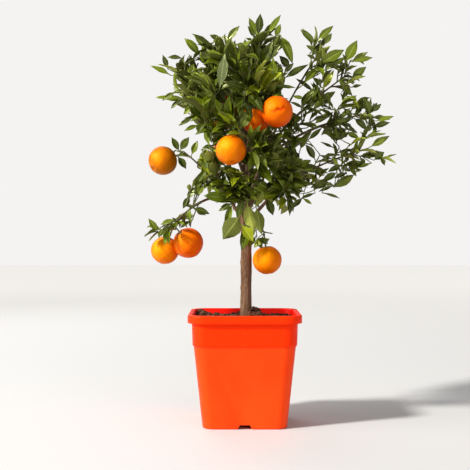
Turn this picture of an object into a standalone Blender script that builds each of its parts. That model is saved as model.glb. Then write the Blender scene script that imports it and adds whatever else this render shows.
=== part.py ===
# Potted chinotto orange: a small citrus tree on a clear stem, in a square nursery pot.
#
# Metres, +Z up. The origin is the centre of the pot's underside and the pot's front
# face looks along -Y. Positions in the tables are millimetres and are scaled on use.
#
# The tree is a trunk, a set of boughs that leave it or each other, and one mass of
# foliage at each bough's tip. A mass keeps to its own space, which is all that lies
# nearer to its stem than to another's. Its twigs and leaves follow a seeded rule.

import math
import random
from collections import namedtuple

import bmesh
import bpy
import numpy as np
from mathutils import Matrix, Vector

MM = 0.001
UP = Vector((0, 0, 1))
UNTAKEN = Vector((0.31, 0.95, 0.07))  # a direction that no limb, twig or leaf takes
GAP = 0.3 * MM  # left between pieces that touch

# The pot: a square one of 180 mm, with a turned-down rim, a ledge and drainage channels
POT_SIDE = 180 * MM
POT_HEIGHT = 182 * MM
POT_WALL = 2 * MM
RIM_DEPTH = 13 * MM
RIM_OVERHANG = 6.5 * MM
RIM_EDGE = 0.8 * MM
LEDGE_HEIGHT = 134 * MM
LEDGE_DEPTH = 3 * MM
LEDGE_STEP = 2.6 * MM
COLLAR_TAPER = 1.6 * MM
POT_FOOT_HALF = 66.5 * MM
FOOT_EDGE = 2 * MM
CORNER_TOP = 25 * MM
CORNER_FOOT = 19 * MM
CORNER_STEPS = 4
FLOOR = 3 * MM

# Four channels under the floor run from its central pad to the middle of each side
PAD_HALF = 18 * MM
CHANNEL_HEIGHT = 7 * MM
CHANNEL_FOOT = 24 * MM
CHANNEL_TOP = 16 * MM
RIDGE_WALL = 1.6 * MM
RIDGE_FOOT = 1 * MM  # the height at which a ridge's bar starts, within the floor
DRAIN_RADIUS = 4 * MM
DRAIN_REACH = 42 * MM

# The soil, and the trunk that stands on it
SOIL_EDGE = 170 * MM
SOIL_CENTRE = 174 * MM
SOIL_FLAT = 23 * MM
HEAP_CENTRE = (20 * MM, -6 * MM)
HEAP_HEIGHT = 9 * MM
HEAP_RADIUS = 17 * MM
SOIL_WAVE = 1.8 * MM
SOIL_WAVE_LENGTHS = (33 * MM, 27 * MM)
SOIL_RINGS = (0.97, 0.8, 0.6, 0.4, 0.2)  # shares of the way out from the trunk
TRUNK_FOOT = Vector((2, 0, 174.3)) * MM
TRUNK_TIP = Vector((2.5, 0, 352)) * MM
TRUNK_BOW = 1.2 * MM
TRUNK_RADIUS = 8.3 * MM
TRUNK_TIP_RADIUS = 6.6 * MM
TRUNK_SIDES = 12
TRUNK_SEGMENTS = 8
FLARE = 3.2 * MM
FLARE_HEIGHT = 14 * MM
ROOTS, ROOT_SWELL = 3, 0.35  # main roots, and how much of the flare each takes
UNEVENNESS = 0.03  # of the trunk's radius

# How limbs grow
BOUGH_SHARE = 0.5  # of a limb: the rest of it is the stem of its mass
BOUGH_TIP_RADIUS = 2.3 * MM
BOUGH_SEGMENTS = 3
BOUGH_SIDES, SUB_BOUGH_SIDES = 7, 5  # on the trunk, and on another bough
SET_OUT = 0.45  # share of its carrier's heading in the way a limb sets out
BEND_AT = 0.45  # of its length: where a limb has turned towards its tip

# How a mass grows
REACH = 78 * MM  # from its stem to the edge of its space
STEM_TIP_RADIUS = 1.8 * MM
STEM_SIDES = 4
TWIG_SIDES = 3
TWIG_SPACING = 14 * MM
FIRST_TWIG, LAST_TWIG = 0.1, 0.92  # along the stem
TWIG_LENGTH = 38 * MM
TWIG_SPREAD = (42, 66)  # degrees from the stem
TWIG_TAPER = 0.3  # how much shorter the last twig is than the first
TWIG_LIFT = 0.14
TWIG_SIZES = (0.85, 1.1)
TWIG_TURN_STRAY = 0.4
SHORTER = (1, 0.8, 0.6, 0.45)  # lengths that are tried until a twig fits
TWIG_RADIUS = 1.25 * MM
TWIG_CLEAR = 3 * MM
GOLDEN_TURN = math.radians(137.5)

# Leaves and fruit
LEAF_WIDTH = 0.52  # of its length
LEAF_WIDEST = 0.46  # of its length, from the root
LEAF_KEEL = 0.36  # of its length, from the root, to where it is thickest
LEAF_CUPPING = 0.3
LEAF_THICKNESS = 1.3 * MM
ROOT_SINK = 0.2 * MM  # past the twig's axis
SIDE_STRAY = 0.2  # how far a leaf or twig strays from the middle of the side it leaves
ROOT_LENGTH = 7 * MM  # within this of its root a leaf may lie close to its own twig
LEAF_CLEAR = 1.2 * MM  # from limbs and fruit
LEAVES_APART = 2.8 * MM
LEAF_SPACING = 9.5 * MM
TIP_LEAVES = 2
TIP_LEAF_SPACING = 5 * MM
TIP_LEAF_TILT = math.radians(32)
LEAF_TILT = math.radians(58)
LEAF_TILT_STEP = math.radians(12)
LEAF_SIZES = (0.82, 1.12)  # of the length for its mass
LEAF_TURN_STRAY = 0.2
LEAF_TILT_STRAY = (-0.15, 0.25)
LEAF_LIFT = (-0.15, 0.2)
FACE_AHEAD, FACE_UP, FACE_OUT, FACE_STRAY = 0.8, 0.6, 0.9, 0.2
BARE_STEM, BARE_TWIG = 0.1, 0.2
TRIES = 10  # turns about the twig before a leaf is given up
STALK_RADIUS = 1.4 * MM
STALK_SINK = 4 * MM
FRUIT_SEGMENTS, FRUIT_RINGS = 8, 6

# name, the limb that carries it and how far along that, its own tip, its foot's radius,
# and the length of the leaves on the mass at its tip
Limb = namedtuple("Limb", "name carrier share tip foot_radius leaf")
LIMBS = [
    Limb("leader", "trunk", 1.0, (24, 0, 622), 5.4, 54),
    Limb("left", "trunk", 0.93, (-106, -4, 572), 4.4, 54),
    Limb("right", "trunk", 0.97, (118, -6, 602), 4.4, 50),
    Limb("front", "trunk", 0.87, (-14, -92, 586), 4.0, 54),
    Limb("back", "trunk", 0.90, (0, 86, 592), 4.2, 54),
    Limb("low_right", "trunk", 0.83, (198, -8, 450), 3.6, 46),
    Limb("low_left", "trunk", 0.80, (-100, -12, 446), 3.4, 48),
    Limb("low_front", "trunk", 0.76, (-20, -88, 388), 2.6, 52),
    Limb("low_back", "trunk", 0.79, (6, 88, 400), 2.8, 52),
    Limb("low_fruit", "trunk", 0.90, (32, -20, 312), 2.2, 40),
    Limb("trunk_front", "trunk", 0.72, (4, -48, 334), 2.2, 48),
    Limb("top_left", "leader", 0.36, (-46, -26, 604), 2.9, 54),
    Limb("mid_left", "left", 0.36, (-92, -42, 514), 2.8, 50),
    Limb("hanging", "low_left", 0.40, (-114, -26, 328), 2.3, 40),
    Limb("inner_left", "low_left", 0.28, (-62, -72, 440), 2.3, 52),
    Limb("front_left", "front", 0.30, (-54, -104, 500), 2.8, 54),
    Limb("front_right", "front", 0.38, (42, -92, 542), 2.7, 54),
    Limb("front_middle", "front", 0.20, (26, -104, 436), 2.5, 52),
    Limb("inner_right", "right", 0.28, (96, -40, 494), 2.6, 46),
    Limb("far_right", "right", 0.33, (204, 2, 510), 2.8, 46),
    Limb("upper_right", "right", 0.40, (172, 10, 576), 2.4, 46),
    Limb("bottom_right", "low_right", 0.34, (130, -28, 396), 2.5, 46),
    Limb("under_right", "low_right", 0.22, (66, -68, 394), 2.3, 50),
    Limb("back_left", "back", 0.30, (-82, 92, 540), 2.8, 54),
    Limb("back_right", "back", 0.38, (66, 94, 562), 2.7, 54),
    Limb("back_middle", "back", 0.24, (14, 122, 488), 2.7, 54),
    Limb("back_low_left", "low_back", 0.28, (-84, 80, 440), 2.3, 52),
    Limb("back_low_right", "low_back", 0.36, (98, 80, 440), 2.2, 52),
]

# the mass that bears it, its centre and its radius
FRUIT = [
    ("low_left", (-134, -12, 431), 23.0),
    ("hanging", (-92, -26, 296), 24.0),
    ("hanging", (-131, -8, 284), 22.3),
    ("low_fruit", (37, -16, 268), 23.0),
    ("front_left", (-22, -125, 439), 22.6),
    ("front_right", (49, -115, 499), 23.6),
    ("front_right", (16, -86, 490), 21.5),
    ("back_left", (-44, 124, 548), 22.6),
    ("back_middle", (-31, 116, 459), 22.4),
    ("back_right", (50, 134, 531), 22.8),
]

COLOURS = {
    "pot": (0.85, 0.09, 0.01),
    "soil": (0.045, 0.026, 0.016),
    "bark": (0.22, 0.14, 0.09),
    "leaf": (0.045, 0.13, 0.018),
    "rind": (0.95, 0.33, 0.02),
}
ROUGHNESS = {"pot": 0.35, "soil": 0.95, "bark": 0.85, "leaf": 0.35, "rind": 0.4}
SHARP_ANGLE = math.radians(38)


# Meshes and Booleans


def clear_scene():
    for obj in list(bpy.data.objects):
        bpy.data.objects.remove(obj)


def material(name):
    found = bpy.data.materials.get(name)
    if found:
        return found
    made = bpy.data.materials.new(name)
    made.use_nodes = True
    shader = made.node_tree.nodes["Principled BSDF"]
    shader.inputs["Base Color"].default_value = (*COLOURS[name], 1)
    shader.inputs["Roughness"].default_value = ROUGHNESS[name]
    shader.inputs["Metallic"].default_value = 0
    return made


def new_object(name, bm, finish, collection=None):
    """A mesh object made from bm, with all its faces as triangles that point outwards."""
    bmesh.ops.triangulate(bm, faces=bm.faces[:])
    bmesh.ops.recalc_face_normals(bm, faces=bm.faces[:])
    mesh = bpy.data.meshes.new(name)
    bm.to_mesh(mesh)
    bm.free()
    mesh.materials.append(material(finish))
    obj = bpy.data.objects.new(name, mesh)
    (collection or bpy.context.scene.collection).objects.link(obj)
    return obj


def skin(rings):
    """A closed bmesh through rings of points, each with the same count, capped at both ends."""
    bm = bmesh.new()
    loops = [[bm.verts.new(p) for p in ring] for ring in rings]
    count = len(loops[0])
    for lower, upper in zip(loops, loops[1:]):
        for i in range(count):
            k = (i + 1) % count
            bm.faces.new((lower[i], lower[k], upper[k], upper[i]))
    bm.faces.new(loops[0][::-1])
    bm.faces.new(loops[-1])
    return bm


def combine(obj, operation, others):
    """Applies one Boolean with each of the other objects in turn, and removes those."""
    for other in others:
        other.hide_render = True
        other.display_type = "WIRE"
        modifier = obj.modifiers.new(operation.lower(), "BOOLEAN")
        modifier.operation = operation
        modifier.object = other
    apply_modifiers(obj)
    for other in others:
        bpy.data.objects.remove(other)


def apply_modifiers(obj):
    bpy.context.view_layer.update()
    graph = bpy.context.evaluated_depsgraph_get()
    mesh = bpy.data.meshes.new_from_object(obj.evaluated_get(graph))
    obj.modifiers.clear()
    obj.data = mesh


def shells_of(bm):
    """The connected groups of vertices, the one that spans most last."""
    shells = []
    left = set(bm.verts)
    while left:
        front = [left.pop()]
        shell = list(front)
        while front:
            vert = front.pop()
            near = [e.other_vert(vert) for e in vert.link_edges]
            front += [v for v in near if v in left]
            shell += [v for v in near if v in left]
            left.difference_update(near)
        shells.append(shell)

    def span(shell):
        sides = zip(*(v.co for v in shell))
        return sum(max(side) - min(side) for side in sides)

    return sorted(shells, key=span)


def keep_main_body(obj):
    """Keeps the largest closed shell: a sealed hollow is filled and a loose scrap dropped."""
    bm = bmesh.new()
    bm.from_mesh(obj.data)
    bmesh.ops.triangulate(bm, faces=bm.faces[:])
    scraps = [v for shell in shells_of(bm)[:-1] for v in shell]
    bmesh.ops.delete(bm, geom=scraps, context="VERTS")
    bm.to_mesh(obj.data)
    bm.free()


def shade_round(obj):
    """Smooth shading, with edges left sharp where faces meet at more than the angle."""
    obj.data.shade_smooth()
    obj.data.set_sharp_from_angle(angle=SHARP_ANGLE)


# The pot and its soil


def rounded_square(half, corner, z):
    """A ring of points: a square of half side half, with corners of that radius, at height z."""
    points = []
    for quarter in range(4):
        start = math.radians(90 * quarter)
        centre = Matrix.Rotation(start, 3, "Z") @ Vector((half - corner, half - corner, 0))
        for step in range(CORNER_STEPS + 1):
            a = start + math.radians(90) * step / CORNER_STEPS
            points.append(centre + Vector((corner * math.cos(a), corner * math.sin(a), z)))
    return points


def wall_half(z):
    """Half the pot's outer width at height z, below the rim."""
    under_rim = POT_SIDE / 2 - RIM_OVERHANG
    ledge = under_rim - COLLAR_TAPER
    if z >= LEDGE_HEIGHT:
        share = (z - LEDGE_HEIGHT) / (POT_HEIGHT - LEDGE_HEIGHT)
        return ledge + COLLAR_TAPER * share
    return POT_FOOT_HALF + (ledge - LEDGE_STEP - POT_FOOT_HALF) * z / LEDGE_HEIGHT


def pot_ring(half, z):
    """A ring of the pot at height z. Its corners' centres lie on the wall's at that height."""
    corner = CORNER_FOOT + (CORNER_TOP - CORNER_FOOT) * z / POT_HEIGHT
    return rounded_square(half, corner + half - wall_half(z), z)


def channel_bars(wider, low, high):
    """Four trapezoid bars along the channels, from z low to z high, each side wider by that."""
    foot = CHANNEL_FOOT / 2 + wider
    top = CHANNEL_TOP / 2 + wider
    spread = foot - (foot - top) * low / CHANNEL_HEIGHT
    bars = []
    for quarter in range(4):
        turn = Matrix.Rotation(math.radians(90 * quarter), 3, "Z")
        rings = []
        for x in (PAD_HALF - wider, POT_SIDE / 2):
            ring = [(x, -spread, low), (x, spread, low), (x, top, high), (x, -top, high)]
            rings.append([turn @ Vector(p) for p in ring])
        bars.append(new_object("bar", skin(rings), "pot"))
    return bars


def ridge_bars(spare):
    """The ridges that the channels make in the floor, thicker by spare."""
    return channel_bars(RIDGE_WALL + spare, RIDGE_FOOT, CHANNEL_HEIGHT + POT_WALL + spare)


def drain_holes():
    holes = []
    for quarter in range(4):
        bm = bmesh.new()
        bmesh.ops.create_cone(bm, cap_ends=True, segments=12, radius1=DRAIN_RADIUS,
                              radius2=DRAIN_RADIUS, depth=CHANNEL_HEIGHT * 2)
        centre = Vector((DRAIN_REACH, 0, CHANNEL_HEIGHT))
        bmesh.ops.translate(bm, vec=centre, verts=bm.verts[:])
        turn = Matrix.Rotation(math.radians(90 * quarter), 3, "Z")
        bmesh.ops.rotate(bm, matrix=turn, verts=bm.verts[:])
        holes.append(new_object("drain", bm, "pot"))
    return holes


def pot_cavity():
    """What is hollow above the floor: the inside of the wall, less the ridges over the channels."""
    inner = POT_SIDE / 2 - RIM_OVERHANG - POT_WALL
    ledge_foot = LEDGE_HEIGHT - LEDGE_DEPTH
    profile = [
        (POT_FOOT_HALF - POT_WALL, FLOOR),
        (wall_half(ledge_foot) - POT_WALL, ledge_foot),
        (wall_half(LEDGE_HEIGHT) - POT_WALL, LEDGE_HEIGHT),
        (inner, POT_HEIGHT - RIM_EDGE),
        (inner + 2 * RIM_EDGE, POT_HEIGHT + RIM_EDGE),
    ]
    cavity = new_object("cavity", skin([pot_ring(half, z) for half, z in profile]), "pot")
    combine(cavity, "DIFFERENCE", ridge_bars(0))
    return cavity


def make_pot():
    """One moulded shell: outer wall, ledge, turned-down rim, inner wall and ridged floor."""
    rim = POT_SIDE / 2
    lip_foot = POT_HEIGHT - RIM_DEPTH
    flange = POT_HEIGHT - POT_WALL
    ledge_foot = LEDGE_HEIGHT - LEDGE_DEPTH
    profile = [
        (POT_FOOT_HALF - FOOT_EDGE, 0),
        (POT_FOOT_HALF, FOOT_EDGE),
        (wall_half(ledge_foot), ledge_foot),
        (wall_half(LEDGE_HEIGHT), LEDGE_HEIGHT),
        (wall_half(flange), flange),
        (rim - POT_WALL, flange),
        (rim - POT_WALL, lip_foot),
        (rim, lip_foot),
        (rim, POT_HEIGHT - RIM_EDGE),
        (rim - RIM_EDGE, POT_HEIGHT),
    ]
    pot = new_object("pot", skin([pot_ring(half, z) for half, z in profile]), "pot")
    channels = channel_bars(0, -FLOOR, CHANNEL_HEIGHT)
    combine(pot, "DIFFERENCE", [pot_cavity()] + channels + drain_holes())


def soil_height(x, y):
    """Height of the soil's surface: flat under the trunk, heaped beside it, low at the wall."""
    from_trunk = math.hypot(x - TRUNK_FOOT.x, y - TRUNK_FOOT.y)
    if from_trunk < SOIL_FLAT:
        return SOIL_CENTRE
    share = min(1, from_trunk / (POT_SIDE / 2))
    z = SOIL_CENTRE + (SOIL_EDGE - SOIL_CENTRE) * share
    from_heap = math.hypot(x - HEAP_CENTRE[0], y - HEAP_CENTRE[1])
    z += HEAP_HEIGHT * math.exp(-((from_heap / HEAP_RADIUS) ** 2))
    waves = [math.sin(2 * math.pi * p / length + 1) for p, length in zip((x, y), SOIL_WAVE_LENGTHS)]
    return z + SOIL_WAVE * waves[0] * waves[1]


def make_soil():
    """The potting mix fills the pot to just under its rim, and stands over the floor's ridges."""
    inset = POT_WALL + GAP
    profile = [(POT_FOOT_HALF - inset, FLOOR + GAP)]
    for z in (LEDGE_HEIGHT - LEDGE_DEPTH, LEDGE_HEIGHT, SOIL_EDGE - LEDGE_DEPTH):
        profile.append((wall_half(z) - inset, z))
    rings = [pot_ring(half, z) for half, z in profile]
    edge = rings[-1]
    for share in SOIL_RINGS:
        ring = []
        for p in edge:
            x = TRUNK_FOOT.x + (p.x - TRUNK_FOOT.x) * share
            y = TRUNK_FOOT.y + (p.y - TRUNK_FOOT.y) * share
            ring.append(Vector((x, y, soil_height(x, y))))
        rings.append(ring)
    soil = new_object("soil", skin(rings), "soil")
    combine(soil, "DIFFERENCE", ridge_bars(GAP))


# Limbs: tapering tubes along curves of three control points


class Curve:
    """A quadratic curve. Its middle control point sets the way it sets out."""

    def __init__(self, start, middle, end):
        self.start, self.middle, self.end = start, middle, end

    def blossom(self, s, t):
        return self.start * (1 - s) * (1 - t) + self.middle * (s + t - 2 * s * t) + self.end * s * t

    def point(self, t):
        return self.blossom(t, t)

    def part(self, s, t):
        """The stretch between two shares of the curve, as a curve of its own."""
        return Curve(self.blossom(s, s), self.blossom(s, t), self.blossom(t, t))

    def heading(self, t):
        way = (self.middle - self.start) * (1 - t) + (self.end - self.middle) * t
        return way.normalized()

    def points(self, count):
        return [self.point(i / (count - 1)) for i in range(count)]

    def length(self):
        points = self.points(9)
        return sum((b - a).length for a, b in zip(points, points[1:]))


def across(way, turn):
    """A unit vector at right angles to way, turned about it by that angle."""
    first = way.cross(UNTAKEN).normalized()
    return Matrix.Rotation(turn, 3, way) @ first


def tube(curve, foot_radius, tip_radius, sides, segments, shape=None, spare=0.0):
    """A bmesh round a curve. shape(share, turn) scales the radius, and spare is added to it."""
    rings = []
    for step in range(segments + 1):
        t = step / segments
        way = curve.heading(t)
        centre = curve.point(t) + way * ((step == segments) - (step == 0)) * spare
        ring = []
        for side in range(sides):
            turn = 2 * math.pi * side / sides
            radius = foot_radius + (tip_radius - foot_radius) * t
            if shape:
                radius *= shape(t, turn)
            ring.append(centre + across(way, turn) * (radius + spare))
        rings.append(ring)
    return skin(rings)


def trunk_curve():
    middle = (TRUNK_FOOT + TRUNK_TIP) / 2 + Vector((TRUNK_BOW, 0, 0))
    return Curve(TRUNK_FOOT, middle, TRUNK_TIP)


def trunk_shape(t, turn):
    """Root flare at the foot and a slight unevenness above it."""
    height = t * (TRUNK_TIP - TRUNK_FOOT).length
    flare = FLARE / TRUNK_RADIUS * math.exp(-height / FLARE_HEIGHT)
    roots = 1 + ROOT_SWELL * math.cos(ROOTS * turn + 0.6)
    return 1 + flare * roots + UNEVENNESS * math.sin(2 * turn + 17 * t)


def trunk_tube(spare=0.0):
    return tube(trunk_curve(), TRUNK_RADIUS, TRUNK_TIP_RADIUS, TRUNK_SIDES, TRUNK_SEGMENTS,
                trunk_shape, spare)


def limb_curves():
    """Each limb's curve: it leaves its carrier's axis and sweeps round to its own tip."""
    curves = {"trunk": trunk_curve()}
    for limb in LIMBS:
        carrier = curves[limb.carrier]
        start = carrier.point(limb.share)
        along = carrier.heading(limb.share)
        if limb.share == 1:
            start = start + along * GAP
        chord = Vector(limb.tip) * MM - start
        way = along
        if limb.share < 1:
            way = (along * SET_OUT + chord.normalized() * (1 - SET_OUT)).normalized()
        middle = start + way * chord.length * BEND_AT
        curves[limb.name] = Curve(start, middle, start + chord)
    return curves


def bough_tube(limb, curve, spare=0.0):
    """The part of a limb below its mass."""
    bough = curve.part(0, BOUGH_SHARE)
    sides = BOUGH_SIDES if limb.carrier == "trunk" else SUB_BOUGH_SIDES
    return tube(bough, limb.foot_radius * MM, BOUGH_TIP_RADIUS, sides, BOUGH_SEGMENTS, None, spare)


def make_limbs(curves):
    """The trunk and boughs. A bough's foot is cut to a saddle that fits what carries it."""
    new_object("trunk", trunk_tube(), "bark")
    for number, limb in enumerate(LIMBS):
        bough = new_object("bough_" + limb.name, bough_tube(limb, curves[limb.name]), "bark")
        if limb.share == 1:
            continue
        near = [x for x in LIMBS[:number] if limb.carrier in (x.carrier, x.name)]
        cutters = [new_object("cutter", bough_tube(x, curves[x.name], GAP), "bark") for x in near]
        if limb.carrier == "trunk":
            cutters.append(new_object("cutter", trunk_tube(GAP), "bark"))
        combine(bough, "DIFFERENCE", cutters)
        keep_main_body(bough)


# Foliage: the space of each mass, and what grows in it

Rod = namedtuple("Rod", "owner start end radius")
Leaf = namedtuple("Leaf", "root way face length")


def rods_of(owner, curve, foot_radius, tip_radius, steps=6):
    """A limb as short straight rods, for the tests of what lies near it."""
    points = curve.points(steps + 1)
    taper = (tip_radius - foot_radius) / steps
    return [
        Rod(owner, points[i], points[i + 1], foot_radius + taper * i) for i in range(steps)
    ]


def distances(points, rods):
    """Each point's distance to the nearest rod's surface."""
    start = np.array([rod.start for rod in rods])
    along = np.array([rod.end for rod in rods]) - start
    radius = np.array([rod.radius for rod in rods])
    away = points[:, None, :] - start[None, :, :]
    share = np.clip((away * along).sum(2) / (along**2).sum(1), 0, 1)
    nearest = away - share[:, :, None] * along
    return (np.linalg.norm(nearest, axis=2) - radius).min(1)


class Mass:
    """A mass of foliage: its stem, the space it keeps to, and what has grown in it."""

    def __init__(self, limb, curve):
        self.name = limb.name
        self.leaf_length = limb.leaf * MM
        self.stem = curve.part(BOUGH_SHARE + GAP / curve.length(), 1)
        self.axis = rods_of("axis " + self.name, self.stem, 0, 0)
        self.fruit = [(Vector(c) * MM, r * MM) for name, c, r in FRUIT if name == self.name]
        self.twigs = []
        self.stalks = []
        self.leaves = []
        self.leaf_points = []

    def holds(self, points, margin, others):
        """Whether the points are in reach of this mass's stem, and nearer to it than to others."""
        own = distances(points, self.axis)
        return (own + margin < REACH).all() and (own + 2 * margin < distances(points, others)).all()

    def near_rods(self, rods):
        """The rods in reach of this mass, less its own bough's and stem's."""
        own = ("bough " + self.name, "stem " + self.name)
        middle = self.stem.point(0.5)
        within = REACH + self.stem.length() / 2
        return [
            rod for rod in rods
            if rod.owner not in own
            and (rod.start - middle).length < within + rod.radius + (rod.end - rod.start).length
        ]

    def grow_twigs(self, rods, axes):
        """Twigs that spiral up the stem, the lower ones longer. One that won't fit is shortened."""
        count = max(3, round(self.stem.length() / TWIG_SPACING))
        for number in range(count):
            rng = random.Random(f"{self.name} twig {number}")
            share = FIRST_TWIG + (LAST_TWIG - FIRST_TWIG) * number / (count - 1)
            turn = number * GOLDEN_TURN + rng.uniform(-TWIG_TURN_STRAY, TWIG_TURN_STRAY)
            turn = near_side_middle(turn, STEM_SIDES)
            spread = math.radians(rng.uniform(*TWIG_SPREAD))
            length = TWIG_LENGTH * (1 - TWIG_TAPER * share) * rng.uniform(*TWIG_SIZES)
            along = self.stem.heading(share)
            way = along * math.cos(spread) + across(along, turn) * math.sin(spread)
            start = self.stem.point(share)
            for shorter in SHORTER:
                reach = (way + UP * TWIG_LIFT) * length * shorter
                twig = Curve(start, start + reach / 2, start + reach)
                outer = np.array(twig.points(9)[2:])
                if self.holds(outer, TWIG_RADIUS, axes) and distances(outer, rods).min() > TWIG_CLEAR:
                    self.twigs.append(twig)
                    rods += rods_of("twig " + self.name, twig, TWIG_RADIUS, TWIG_RADIUS)
                    break

    def hang_fruit(self):
        """A stalk for each fruit, from the nearest point of the mass's twigs."""
        places = [twig.point(i / 12) for twig in [self.stem, *self.twigs] for i in range(4, 13)]
        for centre, radius in self.fruit:
            start = min(places, key=lambda p: (p - centre).length)
            end = centre + (start - centre).normalized() * (radius - STALK_SINK)
            self.stalks.append(Curve(start, (start + end) / 2, end))

    def set_leaves(self, foreign, axes):
        """Leaves by the golden angle down the stem and each twig, where they fit."""
        own = rods_of(0, self.stem, BOUGH_TIP_RADIUS, STEM_TIP_RADIUS)
        for number, twig in enumerate(self.twigs + self.stalks, 1):
            own += rods_of(number, twig, TWIG_RADIUS, TWIG_RADIUS, 1)
        for number, twig in enumerate([self.stem, *self.twigs]):
            rng = random.Random(f"{self.name} leaves {number}")
            sides, bare = (TWIG_SIDES, BARE_TWIG) if number else (STEM_SIDES, BARE_STEM)
            others = [rod for rod in own if rod.owner != number]
            for i, (share, tilt) in enumerate(leaf_places(twig, bare)):
                for attempt in range(TRIES):
                    turn = (i + attempt / 2) * GOLDEN_TURN
                    turn += rng.uniform(-LEAF_TURN_STRAY, LEAF_TURN_STRAY)
                    turn = near_side_middle(turn, sides)
                    length = self.leaf_length * rng.uniform(*LEAF_SIZES)
                    leaf = leaf_at(rng, twig, share, turn, tilt, length)
                    if self.fits(leaf, foreign + others, own, axes):
                        self.leaves.append(leaf)
                        break

    def fits(self, leaf, foreign, own, axes):
        """Whether a leaf keeps to the space and clear of limbs, fruit and the other leaves."""
        points = leaf_points(leaf)
        if not self.holds(points, LEAF_CLEAR / 2, axes):
            return False
        if distances(points, foreign).min() < LEAF_CLEAR:
            return False
        blade = points[np.linalg.norm(points - np.array(leaf.root), axis=1) > ROOT_LENGTH]
        if distances(blade, own).min() < LEAF_CLEAR:
            return False
        for others in self.leaf_points:
            apart = np.linalg.norm(blade[:, None, :] - others[None, :, :], axis=2)
            if apart.min() < LEAVES_APART:
                return False
        self.leaf_points.append(blade)
        return True


def leaf_places(twig, bare):
    """How far along a twig each of its leaves sits, from the tip down, and its tilt."""
    length = twig.length()
    places = []
    back = TIP_LEAF_SPACING
    while back < length * (1 - bare):
        tilt = min(TIP_LEAF_TILT + LEAF_TILT_STEP * len(places), LEAF_TILT)
        places.append((1 - back / length, tilt))
        back += TIP_LEAF_SPACING if len(places) < TIP_LEAVES else LEAF_SPACING
    return places


def near_side_middle(turn, sides):
    """The turn, brought near to the middle of one of a stem's or twig's flat sides."""
    step = 2 * math.pi / sides
    middle = (math.floor(turn / step) + 0.5) * step
    return middle + (turn - middle) * SIDE_STRAY


def leaf_at(rng, twig, share, turn, tilt, length):
    """A leaf set on a twig. Its upper face looks to the twig's tip, the sky and out of the crown."""
    along = twig.heading(share)
    root = twig.point(share)
    tilt += rng.uniform(*LEAF_TILT_STRAY)
    way = along * math.cos(tilt) + across(along, turn) * math.sin(tilt)
    way = (way + UP * rng.uniform(*LEAF_LIFT)).normalized()
    outwards = Vector((root.x, root.y, 0)).normalized()
    face = along * FACE_AHEAD + UP * FACE_UP + outwards * FACE_OUT
    face += across(way, rng.uniform(0, 2 * math.pi)) * FACE_STRAY
    face = (face - way * face.dot(way)).normalized()
    return Leaf(root, way, face, length)


def blade_point(leaf, along, aside):
    """A point of the blade's upper side: along its length, and aside to the edge at -1 or 1."""
    taper = along / LEAF_WIDEST if along < LEAF_WIDEST else (1 - along) / (1 - LEAF_WIDEST)
    half = leaf.length * LEAF_WIDTH / 2 * taper
    side = leaf.way.cross(leaf.face) * aside * half
    lifted = leaf.face * abs(aside) * half * LEAF_CUPPING
    return leaf.root + leaf.way * leaf.length * along + side + lifted


def leaf_points(leaf):
    """A net of points over the blade, for the tests of whether it fits."""
    shares = [0.1, 0.21, 0.32, 0.43, 0.54, 0.65, 0.76, 0.88, 1]
    return np.array([blade_point(leaf, x, y) for x in shares for y in (-1, -0.5, 0, 0.5, 1)])


def leaf_mesh(leaf):
    """A diamond folded along its midrib: two faces above it, and four round a keel below."""
    bm = bmesh.new()
    root = bm.verts.new(leaf.root - leaf.way * ROOT_SINK)
    tip = bm.verts.new(blade_point(leaf, 1, 0))
    right = bm.verts.new(blade_point(leaf, LEAF_WIDEST, 1))
    left = bm.verts.new(blade_point(leaf, LEAF_WIDEST, -1))
    keel = bm.verts.new(blade_point(leaf, LEAF_KEEL, 0) - leaf.face * LEAF_THICKNESS)
    bm.faces.new((root, tip, right))
    bm.faces.new((root, left, tip))
    for side, next_side in ((right, keel), (keel, left)):
        bm.faces.new((root, side, next_side))
        bm.faces.new((side, tip, next_side))
    return bm


def fruit_mesh(centre, radius, stalk):
    """A faceted ball with its poles in line with the stalk."""
    bm = bmesh.new()
    turn = stalk.heading(1).to_track_quat("Z", "Y").to_matrix().to_4x4()
    bmesh.ops.create_uvsphere(bm, u_segments=FRUIT_SEGMENTS, v_segments=FRUIT_RINGS,
                              radius=radius, matrix=turn)
    bmesh.ops.translate(bm, vec=centre, verts=bm.verts[:])
    return bm


def join_mass(mass):
    """One Boolean union of the stem with all that grows from it."""
    stem = tube(mass.stem, BOUGH_TIP_RADIUS, STEM_TIP_RADIUS, STEM_SIDES, 3)
    body = new_object("foliage_" + mass.name, stem, "leaf")
    pieces = [tube(twig, TWIG_RADIUS, TWIG_RADIUS, TWIG_SIDES, 1) for twig in mass.twigs]
    pieces += [tube(stalk, STALK_RADIUS, STALK_RADIUS, 4, 1) for stalk in mass.stalks]
    pieces += [leaf_mesh(leaf) for leaf in mass.leaves]
    group = bpy.data.collections.new("pieces")
    bpy.context.scene.collection.children.link(group)
    for bm in pieces:
        new_object("piece", bm, "leaf", group)
    for (centre, radius), stalk in zip(mass.fruit, mass.stalks):
        new_object("fruit", fruit_mesh(centre, radius, stalk), "rind", group)
    modifier = body.modifiers.new("join", "BOOLEAN")
    modifier.operation = "UNION"
    modifier.operand_type = "COLLECTION"
    modifier.collection = group
    apply_modifiers(body)
    for obj in list(group.objects):
        bpy.data.objects.remove(obj)
    bpy.data.collections.remove(group)
    keep_main_body(body)
    return body


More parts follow.
